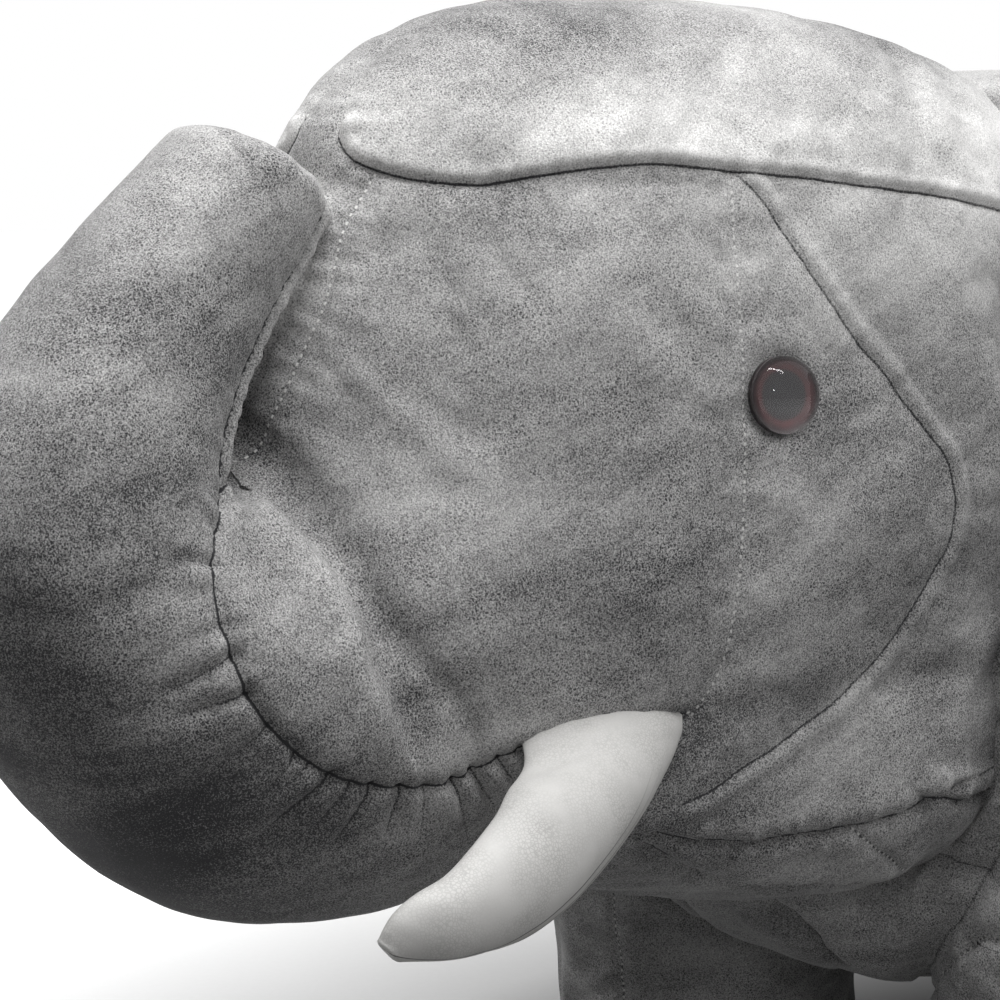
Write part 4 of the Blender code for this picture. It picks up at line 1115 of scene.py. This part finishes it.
    def depth(self, points: np.ndarray) -> np.ndarray:
        """About how far points lie outside the head, negative inside."""
        z = np.clip(points[:, 2], self.bottom[1] + 0.05, self.top[1] - 0.05)
        half, front, widest, rear = self.section(z).T
        reach = np.where(points[:, 1] < widest, widest - front, rear - widest)
        share = np.hypot(points[:, 0] / np.maximum(half, 1), (points[:, 1] - widest) / np.maximum(reach, 1))
        out = (share - 1) * np.minimum(half, reach)
        return np.maximum(out, np.maximum(self.bottom[1] - points[:, 2], points[:, 2] - self.top[1]))

    def side(self, y: float, z: float) -> tuple[np.ndarray, np.ndarray]:
        """A point of the head's left side and the direction out of it."""
        _, front, widest, rear = self.section(z)[0]
        reach = widest - front if y < widest else rear - widest
        turn = math.acos((widest - y) / reach)
        here = self.point(turn, z)
        across = self.point(turn + math.radians(4), z) - here
        upward = self.point(turn, z + 11.0) - here
        return here, unit(np.cross(across, upward))

    def skull(self) -> tuple[np.ndarray, list]:
        """Points and faces of the head without its trunk."""
        low, high = self.levels[0][0], self.levels[-1][0]
        share = np.sin(np.linspace(0.0, math.pi / 2 - 0.03, 40))
        heights = np.concatenate([(low - (low - self.bottom[1]) * share)[:0:-1], np.linspace(low, high, 50),
                                  (high + (self.top[1] - high) * share)[1:]])
        turn = np.linspace(0, math.tau, 200, endpoint=False)
        rings = self.point(turn[None], heights[:, None])
        return lofted(rings, np.array([0, *self.bottom]), np.array([0, *self.top]))

    def trunk_rings(self, between: float, around: np.ndarray) -> np.ndarray:
        """Rings of the trunk, from inside the head to its tip, at turns from the inner side."""
        table = np.array([[*outer, *inner, half] for outer, inner, half in self.trunk], float)
        line = through(table, between)
        outer, inner, half = line[:, 0:2], line[:, 2:4], line[:, 4]
        middle, reach = (outer + inner) / 2, (inner - outer) / 2
        flat = middle[:, None] + reach[:, None] * np.cos(around)[None, :, None]
        across = half[:, None] * np.sin(around)[None]
        return np.concatenate([across[..., None], flat], -1)

    def trunk_form(self) -> tuple[np.ndarray, list]:
        """Points and faces of the trunk with a soft blunt tip."""
        rings = self.trunk_rings(3.0, np.linspace(0, math.tau, 72, endpoint=False))
        middle, before = rings[-1].mean(0), rings[-4].mean(0)
        ahead = unit(middle - before)
        tip = [middle + (rings[-1] - middle) * scale + ahead * crown
               for scale, crown in ((0.985, 1.6), (0.94, 3.2), (0.8, 4.4), (0.5, 5.0))]
        return lofted(np.concatenate([rings, np.stack(tip)]), rings[0].mean(0), middle + ahead * 5.2)

    def neck_line(self, body: Body) -> list:
        """The line where the head meets the body, from below to the nape."""
        turn = np.linspace(0.35 * math.pi, math.pi, 500)
        line = []
        for z in np.arange(self.bottom[1] + 2, self.top[1] - 2, 4.0):
            run = self.point(turn, z)
            inside = np.flatnonzero(body.depth(run) < 0)
            if len(inside) and inside[0] > 0:
                line.append(run[inside[0]])
        return line

    def seams(self) -> list[Seam]:
        """The seams and deep folds of the left half."""
        gusset = self.trunk_rings(4.0, np.array([self.gusset_turn]))[:, 0]
        gusset = gusset[(gusset[:, 2] > 279) & (gusset[:, 1] < -240)]
        # cap, cheek, gusset and ear_fold paint a highlight on their raised strips
        return [
            Seam("trunk", list(self.trunk_line), Thread.FIRST, 1.2, 1.5, (1.6, 0.8), 13, weight=0.95, pucker=0.2),
            Seam("cap", list(self.cap_line), Thread.FIRST, 0.9, 1.4, (1.1, 0.2), 15, ridge=0.6, ridge_width=4.6,
                 light=0.14, pucker=0.25),
            Seam("brow", list(self.brow_line), None, 0.3, 1.4, (0.8, 0.2), 15),
            Seam("forehead", list(self.forehead_line), Thread.SECOND, 0.5, 1.6, (0.4, 0.4), 8, weight=0.36),
            Seam("eye", list(self.eye_line), Thread.THIRD, 0.4, 1.5, (0.4, 0.4), 8, weight=0.2, pucker=0.12),
            Seam("cheek", list(self.cheek_line), Thread.SECOND, 0.3, 1.0, (0.0, 0.4), 10, ridge=1.0, weight=-0.75,
                 light=0.08, pucker=0.12),
            Seam("gusset", gusset[::-1], Thread.THIRD, 0.9, 1.3, (0.6, 0.4), 8, ridge=1.8, ridge_width=4.0,
                 light=0.14),
            Seam("jaw", list(self.jaw_line), Thread.FIRST, 1.6, 2.0, (3.0, 1.0), 14, weight=-0.75, pucker=0.4),
            Seam("band", list(self.band_line), Thread.SECOND, 4.0, 4.0, (2.5, 0.0), 14, weight=-0.9, fade=8.0),
            Seam("band_seam", list(self.band_seam), Thread.THIRD, 0.8, 1.5, (0.6, 0.6), 8, weight=0.6),
            Seam("ear_fold", list(self.ear_fold), Thread.SECOND, 1.6, 2.0, ridge=2.0, ridge_width=10.0, weight=-0.8,
                 fade=6.0, light=0.06),
            Seam("ear_tuck", list(self.ear_tuck), Thread.FIRST, 0.7, 1.2, weight=0.8, pucker=0.1),
        ]

    def folds(self, trunk: Seam) -> list[Seam]:
        """The gathers along the trunk's seam: creases that run out from it and fade."""
        made = []
        for at, depth, length in self.gathers:
            here = int(np.searchsorted(trunk.run, at))
            lean = 0.25 * math.sin(at * 0.9)
            points = [trunk.line[here] + out * (lean * trunk.ahead[here] - trunk.across[here])
                      for out in (0.2, 0.55 * length, 1.1 * length, 1.6 * length)]
            made.append(Seam(f"gather_{at:.0f}", points, Thread.THIRD, 1.2 * depth, 1.7, (0.8 * depth, 0.8 * depth),
                             5.0, weight=-0.3 - 0.25 * depth, taper=True, pucker=0.0))
        return made

    @staticmethod
    def eye_seat(points: np.ndarray, eye: np.ndarray, out: np.ndarray) -> np.ndarray:
        """How the cover sinks under the eye and stands up round it.

        Args:
            points: mirrored points in millimetres.
            eye: the eye's place on the head.
            out: the direction out of the head there.

        Returns:
            Offsets along the normals, in millimetres.
        """
        apart = points - eye
        ring = np.linalg.norm(apart - (apart @ out)[:, None] * out, axis=1)
        beside = (np.abs(apart @ out) < 25).astype(float)
        sunk = 0.9 * np.exp(-((np.maximum(ring - 10, 0) / 2.5) ** 2))
        return beside * (0.8 * np.exp(-(((ring - 17) / 5) ** 2)) - sunk)

    def wear(self, points: np.ndarray, normals: np.ndarray, skin: BVHTree) -> np.ndarray:
        """How much lighter or darker the cloth is painted, by panel and height: the cap panel is lighter and carries
        painted light, the upper head and temple get painted light, the low front under the trunk gets painted shade,
        and the trunk's front is darker.

        Args:
            points: mirrored points in millimetres.
            normals: their mirrored normals.
            skin: the left half's surface.

        Returns:
            Tones for the shader.
        """
        y, z = points[:, 1], points[:, 2]
        crown = Seam("crown", list(self.brow_line + self.cap_line[1:]))
        crown.lay(skin)
        beyond, _, near = crown.measure(points, normals)
        # the cap panel is lighter, partly its own tone and partly painted light from above
        cap = np.where((near > 0.05) & (np.abs(beyond) < 30), 1 / (1 + np.exp(-1.5 * beyond)),
                       np.clip((z - 352) / 26, 0, 1))
        # less of that painted light on the crown top, which the top lamp already lights
        crest = 1 - 1.1 * np.clip((z - 374) / 28, 0, 1)
        nose = np.clip((-262 - y) / 20, 0, 1)
        # painted light on the upper rear of the face
        temple_lit = np.clip((y + 175) / 50, 0, 1) * np.clip((z - 275) / 40, 0, 1) * (1 - cap)
        # painted shade on the low front, under the trunk
        under = np.clip((-250 - y) / 60, 0, 1) * np.clip((270 - z) / 90, 0, 1)
        # painted light on the upper head below the cap
        upper_lit = np.clip((z - 305) / 45, 0, 1) * (1 - cap)
        return (self.cap_tone * cap * crest + self.under_tone * under + self.nose_tone * nose
                + self.temple_tone * temple_lit + self.upper_tone * upper_lit)

    def build(self, finish: bpy.types.Material) -> bpy.types.Object:
        """Make the cover of the head and trunk.

        Args:
            finish: the cover's material.

        Returns:
            The piece.
        """
        cover = Cover("head_cover", [self.skull(), self.trunk_form()], 3.0)
        cover.relax(14)
        seams = self.seams()
        eye, out = self.side(*self.eye_place)
        cover.stuff(seams, 3.0, 2.5, 0.01, ((eye, self.eye_hold),))
        cover.refine(1)
        skin, (points, normals) = cover.half_skin(), cover.mirrored()
        seams[0].lay(skin)
        lift, tone = cover.sew(seams + self.folds(seams[0]))
        lift += COVER - 0.6 + 0.6 * waves(points, 50, 120, 21) + 0.2 * waves(points, 12, 26, 22)
        ridge = Seam("ridge", list(self.ridge_line), fade=15.0)
        ridge.lay(skin)
        away, _, weight = ridge.measure(points, normals)
        swell = (0.5 - 0.5 * np.tanh(away / 2.6)) * np.exp(-((away / 17) ** 2))
        valley = np.exp(-(((away - 6) / 7) ** 2))
        lift += weight * (4.2 * swell - 3.2 * valley)
        lift += self.eye_seat(points, eye, out)
        # the bulge beside the ridge is lighter, and the valley beside it gets a painted shade
        tone += self.wear(points, normals, skin) + weight * (self.swell_tone * swell + self.valley_tone * valley)
        keep(cover.piece, "tone", tone + 0.04 * waves(points, 90, 200, 25))
        cover.swell(lift)
        piece = cover.dress(finish)
        sides = [f"{kind}_panel_{side.word}" for kind in ("face", "eye", "cheek") for side in Side]
        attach(piece, "stool")
        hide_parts("head_cap", "forehead_panel", "jaw_panel", "head_stuffing", "trunk_stuffing",
                    "trunk_outer_panel", "trunk_inner_gusset", *sides)
        LOG.info("head cover: %d points", len(points))
        return piece


@dataclass
class Eye:
    """A domed eye on its shank, set into the cover."""

    radius: float = 11.0
    dome: float = 8.5
    shank: tuple[float, float] = (2.5, 16.0)
    base: float = 0.5
    rim: float = 2.6
    cup: float = 1.2

    def build(self, side: Side, place: tuple[np.ndarray, np.ndarray], clear: bpy.types.Material,
              paint: bpy.types.Material) -> None:
        """Turn the clear dome on its shank and the painted cup inside its back.

        Args:
            side: which eye.
            place: the point on the left side of the head and the direction out of it.
            clear: the dome's material.
            paint: the cup's material.
        """
        shank, length = self.shank
        dome_line = [(shank * 0.5, -length), (shank, -length + 1.5), (shank, self.base),
                     (self.radius * 0.9, self.base), (self.radius * 0.985, self.base + 0.5),
                     (self.radius, self.base + 1.3), (self.radius * 0.995, self.rim)]
        turns = np.radians(np.linspace(6, 86, 18))
        dome_line += [(self.radius * math.cos(t) * 0.995, self.rim + self.dome * math.sin(t)) for t in turns]
        wall, floor, brim = self.radius * 0.97, self.base + self.cup, self.rim + 0.6
        cup_line = [(wall * 0.5, floor - 0.4), (wall, floor - 0.4), (wall, brim), (wall - 0.25, brim),
                    (wall - 0.3, floor + 0.3), (wall - 0.6, floor), (wall * 0.5, floor)]
        dome = self.turned(f"eye_dome_{side.word}", dome_line, side, place, clear)
        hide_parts(f"eye_{side.word}")
        cup = self.turned(f"eye_paint_{side.word}", cup_line, side, place, paint)
        LOG.info("eye %s", side.word)

    @staticmethod
    def turned(name: str, line: list, side: Side, place: tuple[np.ndarray, np.ndarray],
               finish: bpy.types.Material) -> bpy.types.Object:
        """A turned piece set on the head.

        Args:
            name: the piece's name.
            line: radius and height of the turned outline.
            side: which eye.
            place: the point on the left side of the head and the direction out of it.
            finish: the material.

        Returns:
            The piece.
        """
        around = np.linspace(0, math.tau, 72, endpoint=False)
        rings = turned_rings(line, around)
        points, faces = lofted(rings, np.array([0, 0, line[0][1]]), np.array([0, 0, line[-1][1]]))
        piece = add_piece(name, points - SOURCE_SHIFT, faces)
        piece.data.materials.append(finish)
        flip = np.array([side.value, 1, 1])
        where, out = Vector(((place[0] * flip) + SOURCE_SHIFT) * MM), Vector(place[1] * flip)
        piece.matrix_world = Matrix.Translation(where) @ out.to_track_quat("Z", "Y").to_matrix().to_4x4()
        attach(piece, "stool")
        return piece


@dataclass
class Tusk:
    """A stuffed tusk of two leatherette panels, sewn to the head along a flat root."""

    rails: tuple = ((58, (-215, 214), (-172, 227)), (76, (-227, 206), (-168, 216)), (83, (-239, 201), (-177, 205)),
                    (89, (-248, 197), (-191, 195)), (93, (-259, 191), (-207, 184)), (96, (-270, 186), (-226, 173)),
                    (97, (-280, 183), (-243, 166.5)), (96.5, (-286.5, 179), (-258, 164.5)),
                    (96, (-289.5, 175.5), (-271, 164.5)), (95.5, (-291, 172.5), (-285.5, 166)))
    thick: tuple[float, ...] = (4.0, 5.5, 8.2, 10.2, 10.9, 10.4, 9.4, 8.0, 6.2, 4.0)
    lean_left: tuple[float, float, float] = (-4.0, 3.4, 0.0)
    lean_right: tuple[float, float, float] = (-8.0, 5.0, 6.0)
    seam_turn: float = math.pi - 0.6
    lump: float = 0.35

    def build(self, side: Side, finish: bpy.types.Material) -> None:
        """Loft lens sections between the two rails and close the tip.

        Args:
            side: which tusk.
            finish: the tusk's material.
        """
        lean = self.lean_left if side is Side.LEFT else self.lean_right
        table = np.array([[x, *outer, x, *inner, t] for (x, outer, inner), t in zip(self.rails, self.thick)], float)
        table[:, :6] += np.linspace(0, 1, len(table))[:, None] ** 1.5 * np.array(lean + lean)
        line = through(table, 1.6)
        outer, inner, thick = line[:, 0:3], line[:, 3:6], line[:, 6]
        middle, half = (outer + inner) / 2, (outer - inner) / 2
        ahead = unit(np.gradient(middle, axis=0))
        across = unit(np.cross(half, ahead))
        turn = np.linspace(0, math.tau, 96, endpoint=False)
        flat, deep = np.cos(turn), np.sign(np.sin(turn)) * np.abs(np.sin(turn)) ** 1.15
        rings = middle[:, None] + half[:, None] * flat[None, :, None]
        rings = rings + (across * thick[:, None])[:, None] * deep[None, :, None]
        ends = [middle[-1] + (rings[-1] - middle[-1]) * scale + ahead[-1] * crown
                for scale, crown in ((0.93, 0.5), (0.75, 0.9), (0.4, 1.1))]
        rings = np.concatenate([rings, np.stack(ends)])
        pull = np.clip(np.linspace(-0.25, 1.0, len(rings)), 0, 1)[:, None]
        lumpy = waves(rings.reshape(-1, 3), 14, 30, 61).reshape(rings.shape[:2])
        row = np.minimum(np.arange(len(rings)), len(across) - 1)
        rings = rings + across[row][:, None] * (self.lump * pull * lumpy)[..., None]
        points, faces = lofted(rings, middle[0], middle[-1] + ahead[-1] * 1.2)
        seam = np.tile([30.0, 0.0, 0.0], (len(points), 1))
        steps = np.linalg.norm(np.diff(rings, axis=1, append=rings[:, :1]), axis=-1)
        run = np.cumsum(steps, axis=1) - steps
        seam[1:-1, 0] = (run[:, [np.searchsorted(turn, self.seam_turn)]] - run).ravel()
        seam[1:-1, 2] = np.repeat(np.clip(np.linspace(-1.2, 2.4, len(rings)), 0, 1), len(turn))
        flip = np.array([side.value, 1, 1])
        faces = faces if side is Side.LEFT else [face[::-1] for face in faces]
        piece = add_piece(f"tusk_sewn_{side.word}", points * flip, faces)
        keep(piece, Thread.FIRST.value, seam)
        piece.data.materials.append(finish)
        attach(piece, "stool")
        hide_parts(f"tusk_{side.word}")
        LOG.info("tusk %s", side.word)


@dataclass
class Ear:
    """A padded ear flap of two layers with a sewn rim, which turns about its root line."""

    axis_x: float = 99.8
    low: tuple[float, float] = (-60.0, 182.0)
    high: tuple[float, float] = (-48.0, 340.0)
    outline: tuple = ((-15, 2), (6, 15), (40, 33), (80, 58), (114, 96), (128, 138), (110, 177), (66, 192), (24, 183),
                      (-9, 160), (-4, 134), (0, 96), (-2, 56), (-8, 20))
    thickness: float = 12.0
    edge: float = 4.0
    sweep: float = math.radians(60)
    cup: float = 10.0
    ripple: float = 2.2
    lump: float = 0.8
    rim_seam: float = 8.0
    swing: tuple[float, ...] = (-8.0, -2.0, 4.0, 10.0, 16.0, 23.0, 30.0)
    clearance: float = 2.2
    body_clearance: float = 6.5
    back: float = 6.0

    def build(self, side: Side, head: Head, body: Body, finish: bpy.types.Material) -> None:
        """Make the flap, keep its root clear of head and body through its swing, and sew its rim.

        Args:
            side: which ear.
            head: the head, which the root follows.
            body: the body behind the ear.
            finish: the ear's material.
        """
        low, high = np.array([self.axis_x, *self.low]), np.array([self.axis_x, *self.high])
        rise = unit(high - low)
        out = np.array([math.sin(self.sweep), math.cos(self.sweep), 0.0])
        out = unit(out - rise * (out @ rise))
        face = np.cross(rise, out)
        face = face if face[1] < 0 else -face
        rim = through([(*p, 0.0) for p in self.outline], 1.8, closed=True)[:, :2]
        middle = rim.mean(0)
        shares = np.sin(np.linspace(0.0, math.pi / 2, 42))[1:]
        rows = []
        for share in shares:
            ring = middle + (rim - middle) * share
            inside = np.linalg.norm(rim - middle, axis=1) * (1 - share)
            pad = self.edge / 2 + (self.thickness - self.edge) / 2 * (1 - np.exp(-inside / 13.0))
            pad = pad * np.sqrt(np.clip(1 - (1 - np.minimum(inside / 3.0, 1)) ** 2, 0.03, 1))
            pad -= 0.9 * np.exp(-(((inside - self.rim_seam) / 1.8) ** 2))
            rows.append((ring, pad, inside))
        back = [(ring, -pad, inside) for ring, pad, inside in reversed(rows[:-1])]
        reach = max(p[0] for p in self.outline)
        rings, seam = [], []
        for order, (ring, pad, inside) in enumerate(rows + back):
            layer = np.full(len(ring), 300.0 * (order >= len(rows)))
            lumpy = self.lump * waves(np.c_[ring, layer], 30, 70, 41)
            lumpy *= np.clip(inside / 12, 0, 1)
            share = ring[:, 0] / reach
            sag = self.cup * share**2 + self.ripple * np.sin(ring[:, 1] / 31.0) * np.clip(share, 0, 1)
            stand = pad + np.sign(pad) * lumpy - sag
            rings.append(low + ring[:, :1] * out + ring[:, 1:] * rise + stand[:, None] * face)
            run = np.linspace(0, len(ring) * 1.8, len(ring))
            seam.append(np.stack([inside - self.rim_seam, run, np.ones(len(ring))], 1))
        poles = [low + middle[0] * out + middle[1] * rise
                 + (sign * self.thickness / 2 - self.cup * (middle[0] / reach) ** 2) * face for sign in (1, -1)]
        points, faces = lofted(np.stack(rings), *poles)
        points = self.cleared(points + [0.0, self.back, 0.0], low, rise, out, head, body)
        flip = np.array([side.value, 1, 1])
        piece = add_piece(f"ear_flap_{side.word}", points * flip, faces)
        if self.inward(piece):
            piece.data.flip_normals()
        keep(piece, Thread.FIRST.value, np.concatenate([[[30, 0, 0]], np.concatenate(seam), [[30, 0, 0]]]))
        piece.data.materials.append(finish)
        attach(piece, f"ear_{side.word}")
        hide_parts(f"ear_{side.word}")
        LOG.info("ear %s: %d points", side.word, len(points))

    def cleared(self, points: np.ndarray, low: np.ndarray, rise: np.ndarray, out: np.ndarray, head: Head,
                body: Body) -> np.ndarray:
        """Slide the root's points out until head and body pass them at every swing.

        Args:
            points: the flap's points.
            low: the lower end of the line that the flap turns about.
            rise: that line's direction.
            out: the direction that leads away from it in the flap.
            head: the head.
            body: the body.

        Returns:
            The points in their new places.
        """
        for _ in range(24):
            inside = np.zeros(len(points), bool)
            for angle in self.swing:
                turned = self.turned(points - low, -rise, math.radians(angle)) + low
                inside |= head.depth(turned) < COVER + self.clearance
                inside |= body.depth(turned) < COVER + self.body_clearance
            if not inside.any():
                break
            points = points + np.where(inside[:, None], out * 0.8, 0.0)
        return points

    @staticmethod
    def turned(points: np.ndarray, axis: np.ndarray, angle: float) -> np.ndarray:
        """Points turned about an axis through the origin."""
        return (points * math.cos(angle) + np.cross(axis, points) * math.sin(angle)
                + axis * (points @ axis)[:, None] * (1 - math.cos(angle)))

    @staticmethod
    def inward(piece: bpy.types.Object) -> bool:
        """Whether the piece's faces point in."""
        volume = 0.0
        mesh = piece.data
        mesh.calc_loop_triangles()
        for triangle in mesh.loop_triangles:
            a, b, c = (mesh.vertices[i].co for i in triangle.vertices)
            volume += a.dot(b.cross(c))
        return volume < 0


@dataclass
class Tail:
    """A suede tail with a tuft of cut strips, which lifts about its root."""

    hang: float = 349.8
    root: float = 285.0
    length: float = 130.0
    radius: tuple[float, float] = (8.0, 5.0)
    tuft: float = 52.0
    strips: int = 26

    def build(self, finish: bpy.types.Material) -> None:
        """Make the tail's tube with its seam, and the tuft's strips."""
        around = np.linspace(0, math.tau, 48, endpoint=False)
        top = [(self.radius[0] * math.cos(t), self.root + self.radius[0] * math.sin(t))
               for t in np.radians(np.linspace(80, 4, 12))]
        rows = top + [(self.radius[0] + (self.radius[1] - self.radius[0]) * s
                       + 0.3 * math.sin(s * 31) + 0.2 * math.sin(s * 57), self.root - self.length * s)
                      for s in np.linspace(0, 0.985, 90)]
        seam_turn = np.abs(((around - math.pi / 2) + math.pi) % math.tau - math.pi)
        rings, seam = [], []
        for radius, z in rows:
            r = radius - 0.7 * np.exp(-((seam_turn * radius / 1.2) ** 2))
            rings.append(turned_rings([(r, z)], around, y=self.hang)[0])
            away = (((around - math.pi / 2) + math.pi) % math.tau - math.pi) * radius
            seam.append(np.stack([away, np.full_like(around, self.root - z), np.ones_like(around)], 1))
        points, faces = lofted(np.stack(rings), np.array([0, self.hang, self.root + self.radius[0]]),
                               np.array([0, self.hang, self.root - self.length]))
        piece = add_piece("tail_cord", points, faces)
        keep(piece, Thread.FIRST.value, np.concatenate([[[30, 0, 0]], np.concatenate(seam), [[30, 0, 0]]]))
        self.dress(piece, finish, "tail")
        piece = add_piece("tail_tassel", *self.tassel())
        self.dress(piece, finish, "tail_tuft")
        LOG.info("tail and tuft")

    def tassel(self) -> tuple[np.ndarray, list]:
        """Points and faces of the tuft: a bound collar and cut strips that hang from it."""
        random = np.random.RandomState(7)
        top = self.root - self.length + 6.0
        around = np.linspace(0, math.tau, 40, endpoint=False)
        rows = [(5.2, top), (6.2, top - 1.0), (6.6, top - 4.5), (6.3, top - 8.0), (5.6, top - 9.0), (3.0, top - 10.0)]
        rings = turned_rings(rows, around, y=self.hang)
        parts = [lofted(rings, np.array([0, self.hang, top]), np.array([0, self.hang, top - 10.0]))]
        for index in range(self.strips):
            turn = math.tau * index / self.strips * 1.618 * 5
            start = 2.5 + 3.0 * ((index * 7) % self.strips) / self.strips
            spread = start + random.uniform(1.5, 5.0)
            share = np.linspace(0, 1, 14)
            radius = start + (spread - start) * np.sin(share * math.pi * 0.75)
            drop = top - 6.0 - share * (self.tuft - random.uniform(0, 10))
            sway = turn + 0.25 * np.sin(share * 3 + index)
            centre = np.stack([radius * np.cos(sway), self.hang + radius * np.sin(sway), drop], 1)
            flat = np.array([-math.sin(turn), math.cos(turn), 0.0])
            deep = np.array([math.cos(turn), math.sin(turn), 0.0])
            wide = 2.0 * (1 - 0.25 * share)
            corner = [(-1, -0.5), (0, -0.62), (1, -0.5), (1, 0.5), (0, 0.62), (-1, 0.5)]
            strip = np.stack([centre + flat * (wide * a)[:, None] + deep * b for a, b in corner], 1)
            parts.append(lofted(strip, centre[0], centre[-1]))
        return merged(parts)

    def dress(self, piece: bpy.types.Object, finish: bpy.types.Material, node: str) -> None:
        """Give a piece of the tail its material and its place on the frame."""
        piece.data.materials.append(finish)
        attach(piece, "tail")
        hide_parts(node)


@dataclass
class Timber:
    """The stool frame and small hardware inside the covers, which keep their CAD shapes."""

    posts: tuple[str, ...] = ("leg_post_front_left", "leg_post_front_right", "leg_post_rear_left",
                              "leg_post_rear_right")
    rails: tuple[str, ...] = ("rail_front", "rail_left", "rail_rear", "rail_right")
    boards: tuple[str, ...] = ("seat_board", "neck_board")
    hardware: tuple[str, ...] = ("eye_washer_left", "eye_washer_right", "glide_front_left", "glide_front_right",
                                 "glide_rear_left", "glide_rear_right")

    def dress(self) -> None:
        """Give each CAD node that stays a material of its own kind."""
        post = SawnTimber("pine_planed_upright", "#dcb987", "#b88a55", 3.5, (1.0, 1.0, 0.06)).material()
        rail = SawnTimber("pine_planed_level", "#dcb987", "#b88a55", 3.5, (0.06, 0.06, 1.0)).material()
        board = SawnTimber("birch_plywood", "#d9c19a", "#b99a6c", 1.6, (1.0, 0.08, 1.0)).material()
        nylon = MouldedNylon().material()
        for names, finish in ((self.posts, post), (self.rails, rail), (self.boards, board), (self.hardware, nylon)):
            for name in names:
                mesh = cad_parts[name].data
                mesh.materials.clear()
                mesh.materials.append(finish)
        LOG.info("frame and hardware dressed")


@dataclass(frozen=True)
class Lamp:
    """A soft rectangular lamp, in metres and watts; glossy surfaces mirror it where it has a glint."""

    name: str
    place: tuple[float, float, float]
    target: tuple[float, float, float]
    size: tuple[float, float]
    power: float
    glint: bool = False

    def build(self) -> None:
        """Hang the lamp and turn it to its target."""
        light = bpy.data.lights.new(self.name, "AREA")
        light.shape, light.energy = "RECTANGLE", self.power
        light.size, light.size_y = self.size
        made = bpy.data.objects.new(self.name, light)
        bpy.context.scene.collection.objects.link(made)
        made.location = self.place
        made.visible_glossy = self.glint
        made.rotation_euler = (Vector(self.target) - Vector(self.place)).to_track_quat("-Z", "Y").to_euler()


@dataclass
class Studio:
    """White paper sweep, soft lights and the photograph's camera."""

    place: tuple[float, float, float] = (0.6274, -0.69972, 0.3789)
    right: tuple[float, float, float] = (0.6428, 0.7660, 0.0)
    up: tuple[float, float, float] = (-0.1066, 0.0895, 0.9903)
    back: tuple[float, float, float] = (0.7586, -0.6365, 0.1392)
    lens: float = 100.0
    floor: float = -0.3
    air: float = 0.07
    lamps: tuple[Lamp, ...] = (
        Lamp("softbox_top", (0.1, -0.26, 1.75), (0.1, -0.2, 0.0), (1.6, 1.5), 31.0),
        Lamp("softbox_left", (1.6, 0.6, 1.6), (0.0, -0.05, 0.25), (1.2, 1.2), 17.0),
        Lamp("softbox_front", (0.9, -2.4, 1.2), (0.0, -0.1, 0.25), (2.2, 1.6), 4.0),
        Lamp("strip_top", (0.15, -0.4, 1.79), (0.1, -0.2, 0.2), (1.6, 0.12), 14.0, glint=True),
        Lamp("catch_light", (1.03, -1.2, 0.83), (0.09, -0.15, 0.3), (0.08, 0.08), 0.9, glint=True),
    )

    def build(self) -> None:
        """Make the sweep, the lights, the world and the camera."""
        self.sweep()
        for lamp in self.lamps:
            lamp.build()
        world = bpy.data.worlds.new("studio_air")
        world.use_nodes = True
        tree = world.node_tree
        put = partial(add_node, tree)
        path = put("LightPath", {}).node.outputs
        seen = put("Math", {0: path["Is Camera Ray"], 1: path["Is Glossy Ray"]}, operation="MAXIMUM")
        seen = put("Math", {0: seen, 1: path["Is Transmission Ray"]}, operation="MAXIMUM")
        bright = put("Math", {0: seen, 1: 1.0 - self.air, 2: self.air}, operation="MULTIPLY_ADD")
        feed(tree, tree.nodes["Background"], {"Color": (1.0, 1.0, 1.0, 1.0), "Strength": bright})
        bpy.context.scene.world = world
        self.camera()
        bpy.context.scene.view_settings.view_transform = "Standard"
        LOG.info("studio ready")

    def sweep(self) -> None:
        """A wide flat floor of paper."""
        count, size = 60, 14000.0
        grid = np.linspace(-size / 2, size / 2, count)
        x, y = np.meshgrid(grid, grid)
        points = np.stack([x, y, np.full_like(x, self.floor)], -1).reshape(-1, 3)
        faces = [(r * count + c, r * count + c + 1, (r + 1) * count + c + 1, (r + 1) * count + c)
                 for r in range(count - 1) for c in range(count - 1)]
        floor = add_piece("paper_floor", points, faces)
        floor.data.materials.append(StudioPaper().material())

    def camera(self) -> None:
        """The photograph's camera."""
        data = bpy.data.cameras.new("camera")
        data.lens, data.sensor_width = self.lens, 36.0
        data.clip_start, data.clip_end = 0.01, 60.0
        made = bpy.data.objects.new("camera", data)
        bpy.context.scene.collection.objects.link(made)
        turn = Matrix([self.right, self.up, self.back]).transposed()
        made.matrix_world = Matrix.Translation(self.place) @ turn.to_4x4()
        bpy.context.scene.camera = made


def main() -> None:
    """Build the pieces in order."""
    logging.basicConfig(level=logging.INFO, format="%(name)s: %(message)s")
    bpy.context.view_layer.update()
    Studio().build()
    suede = FauxSuede().material()
    tusk, clear, paint = TuskLeatherette().material(), ClearAcrylic().material(), EyePaint().material()
    body, head = Body(), Head()
    neck = head.neck_line(body)
    Timber().dress()
    body.build(neck, suede)
    body.soles(suede)
    head.build(suede)
    for side in Side:
        Eye().build(side, head.side(*head.eye_place), clear, paint)
        Tusk().build(side, tusk)
        Ear().build(side, head, body, suede)
    Tail().build(suede)


if __name__ == "__main__":
    main()
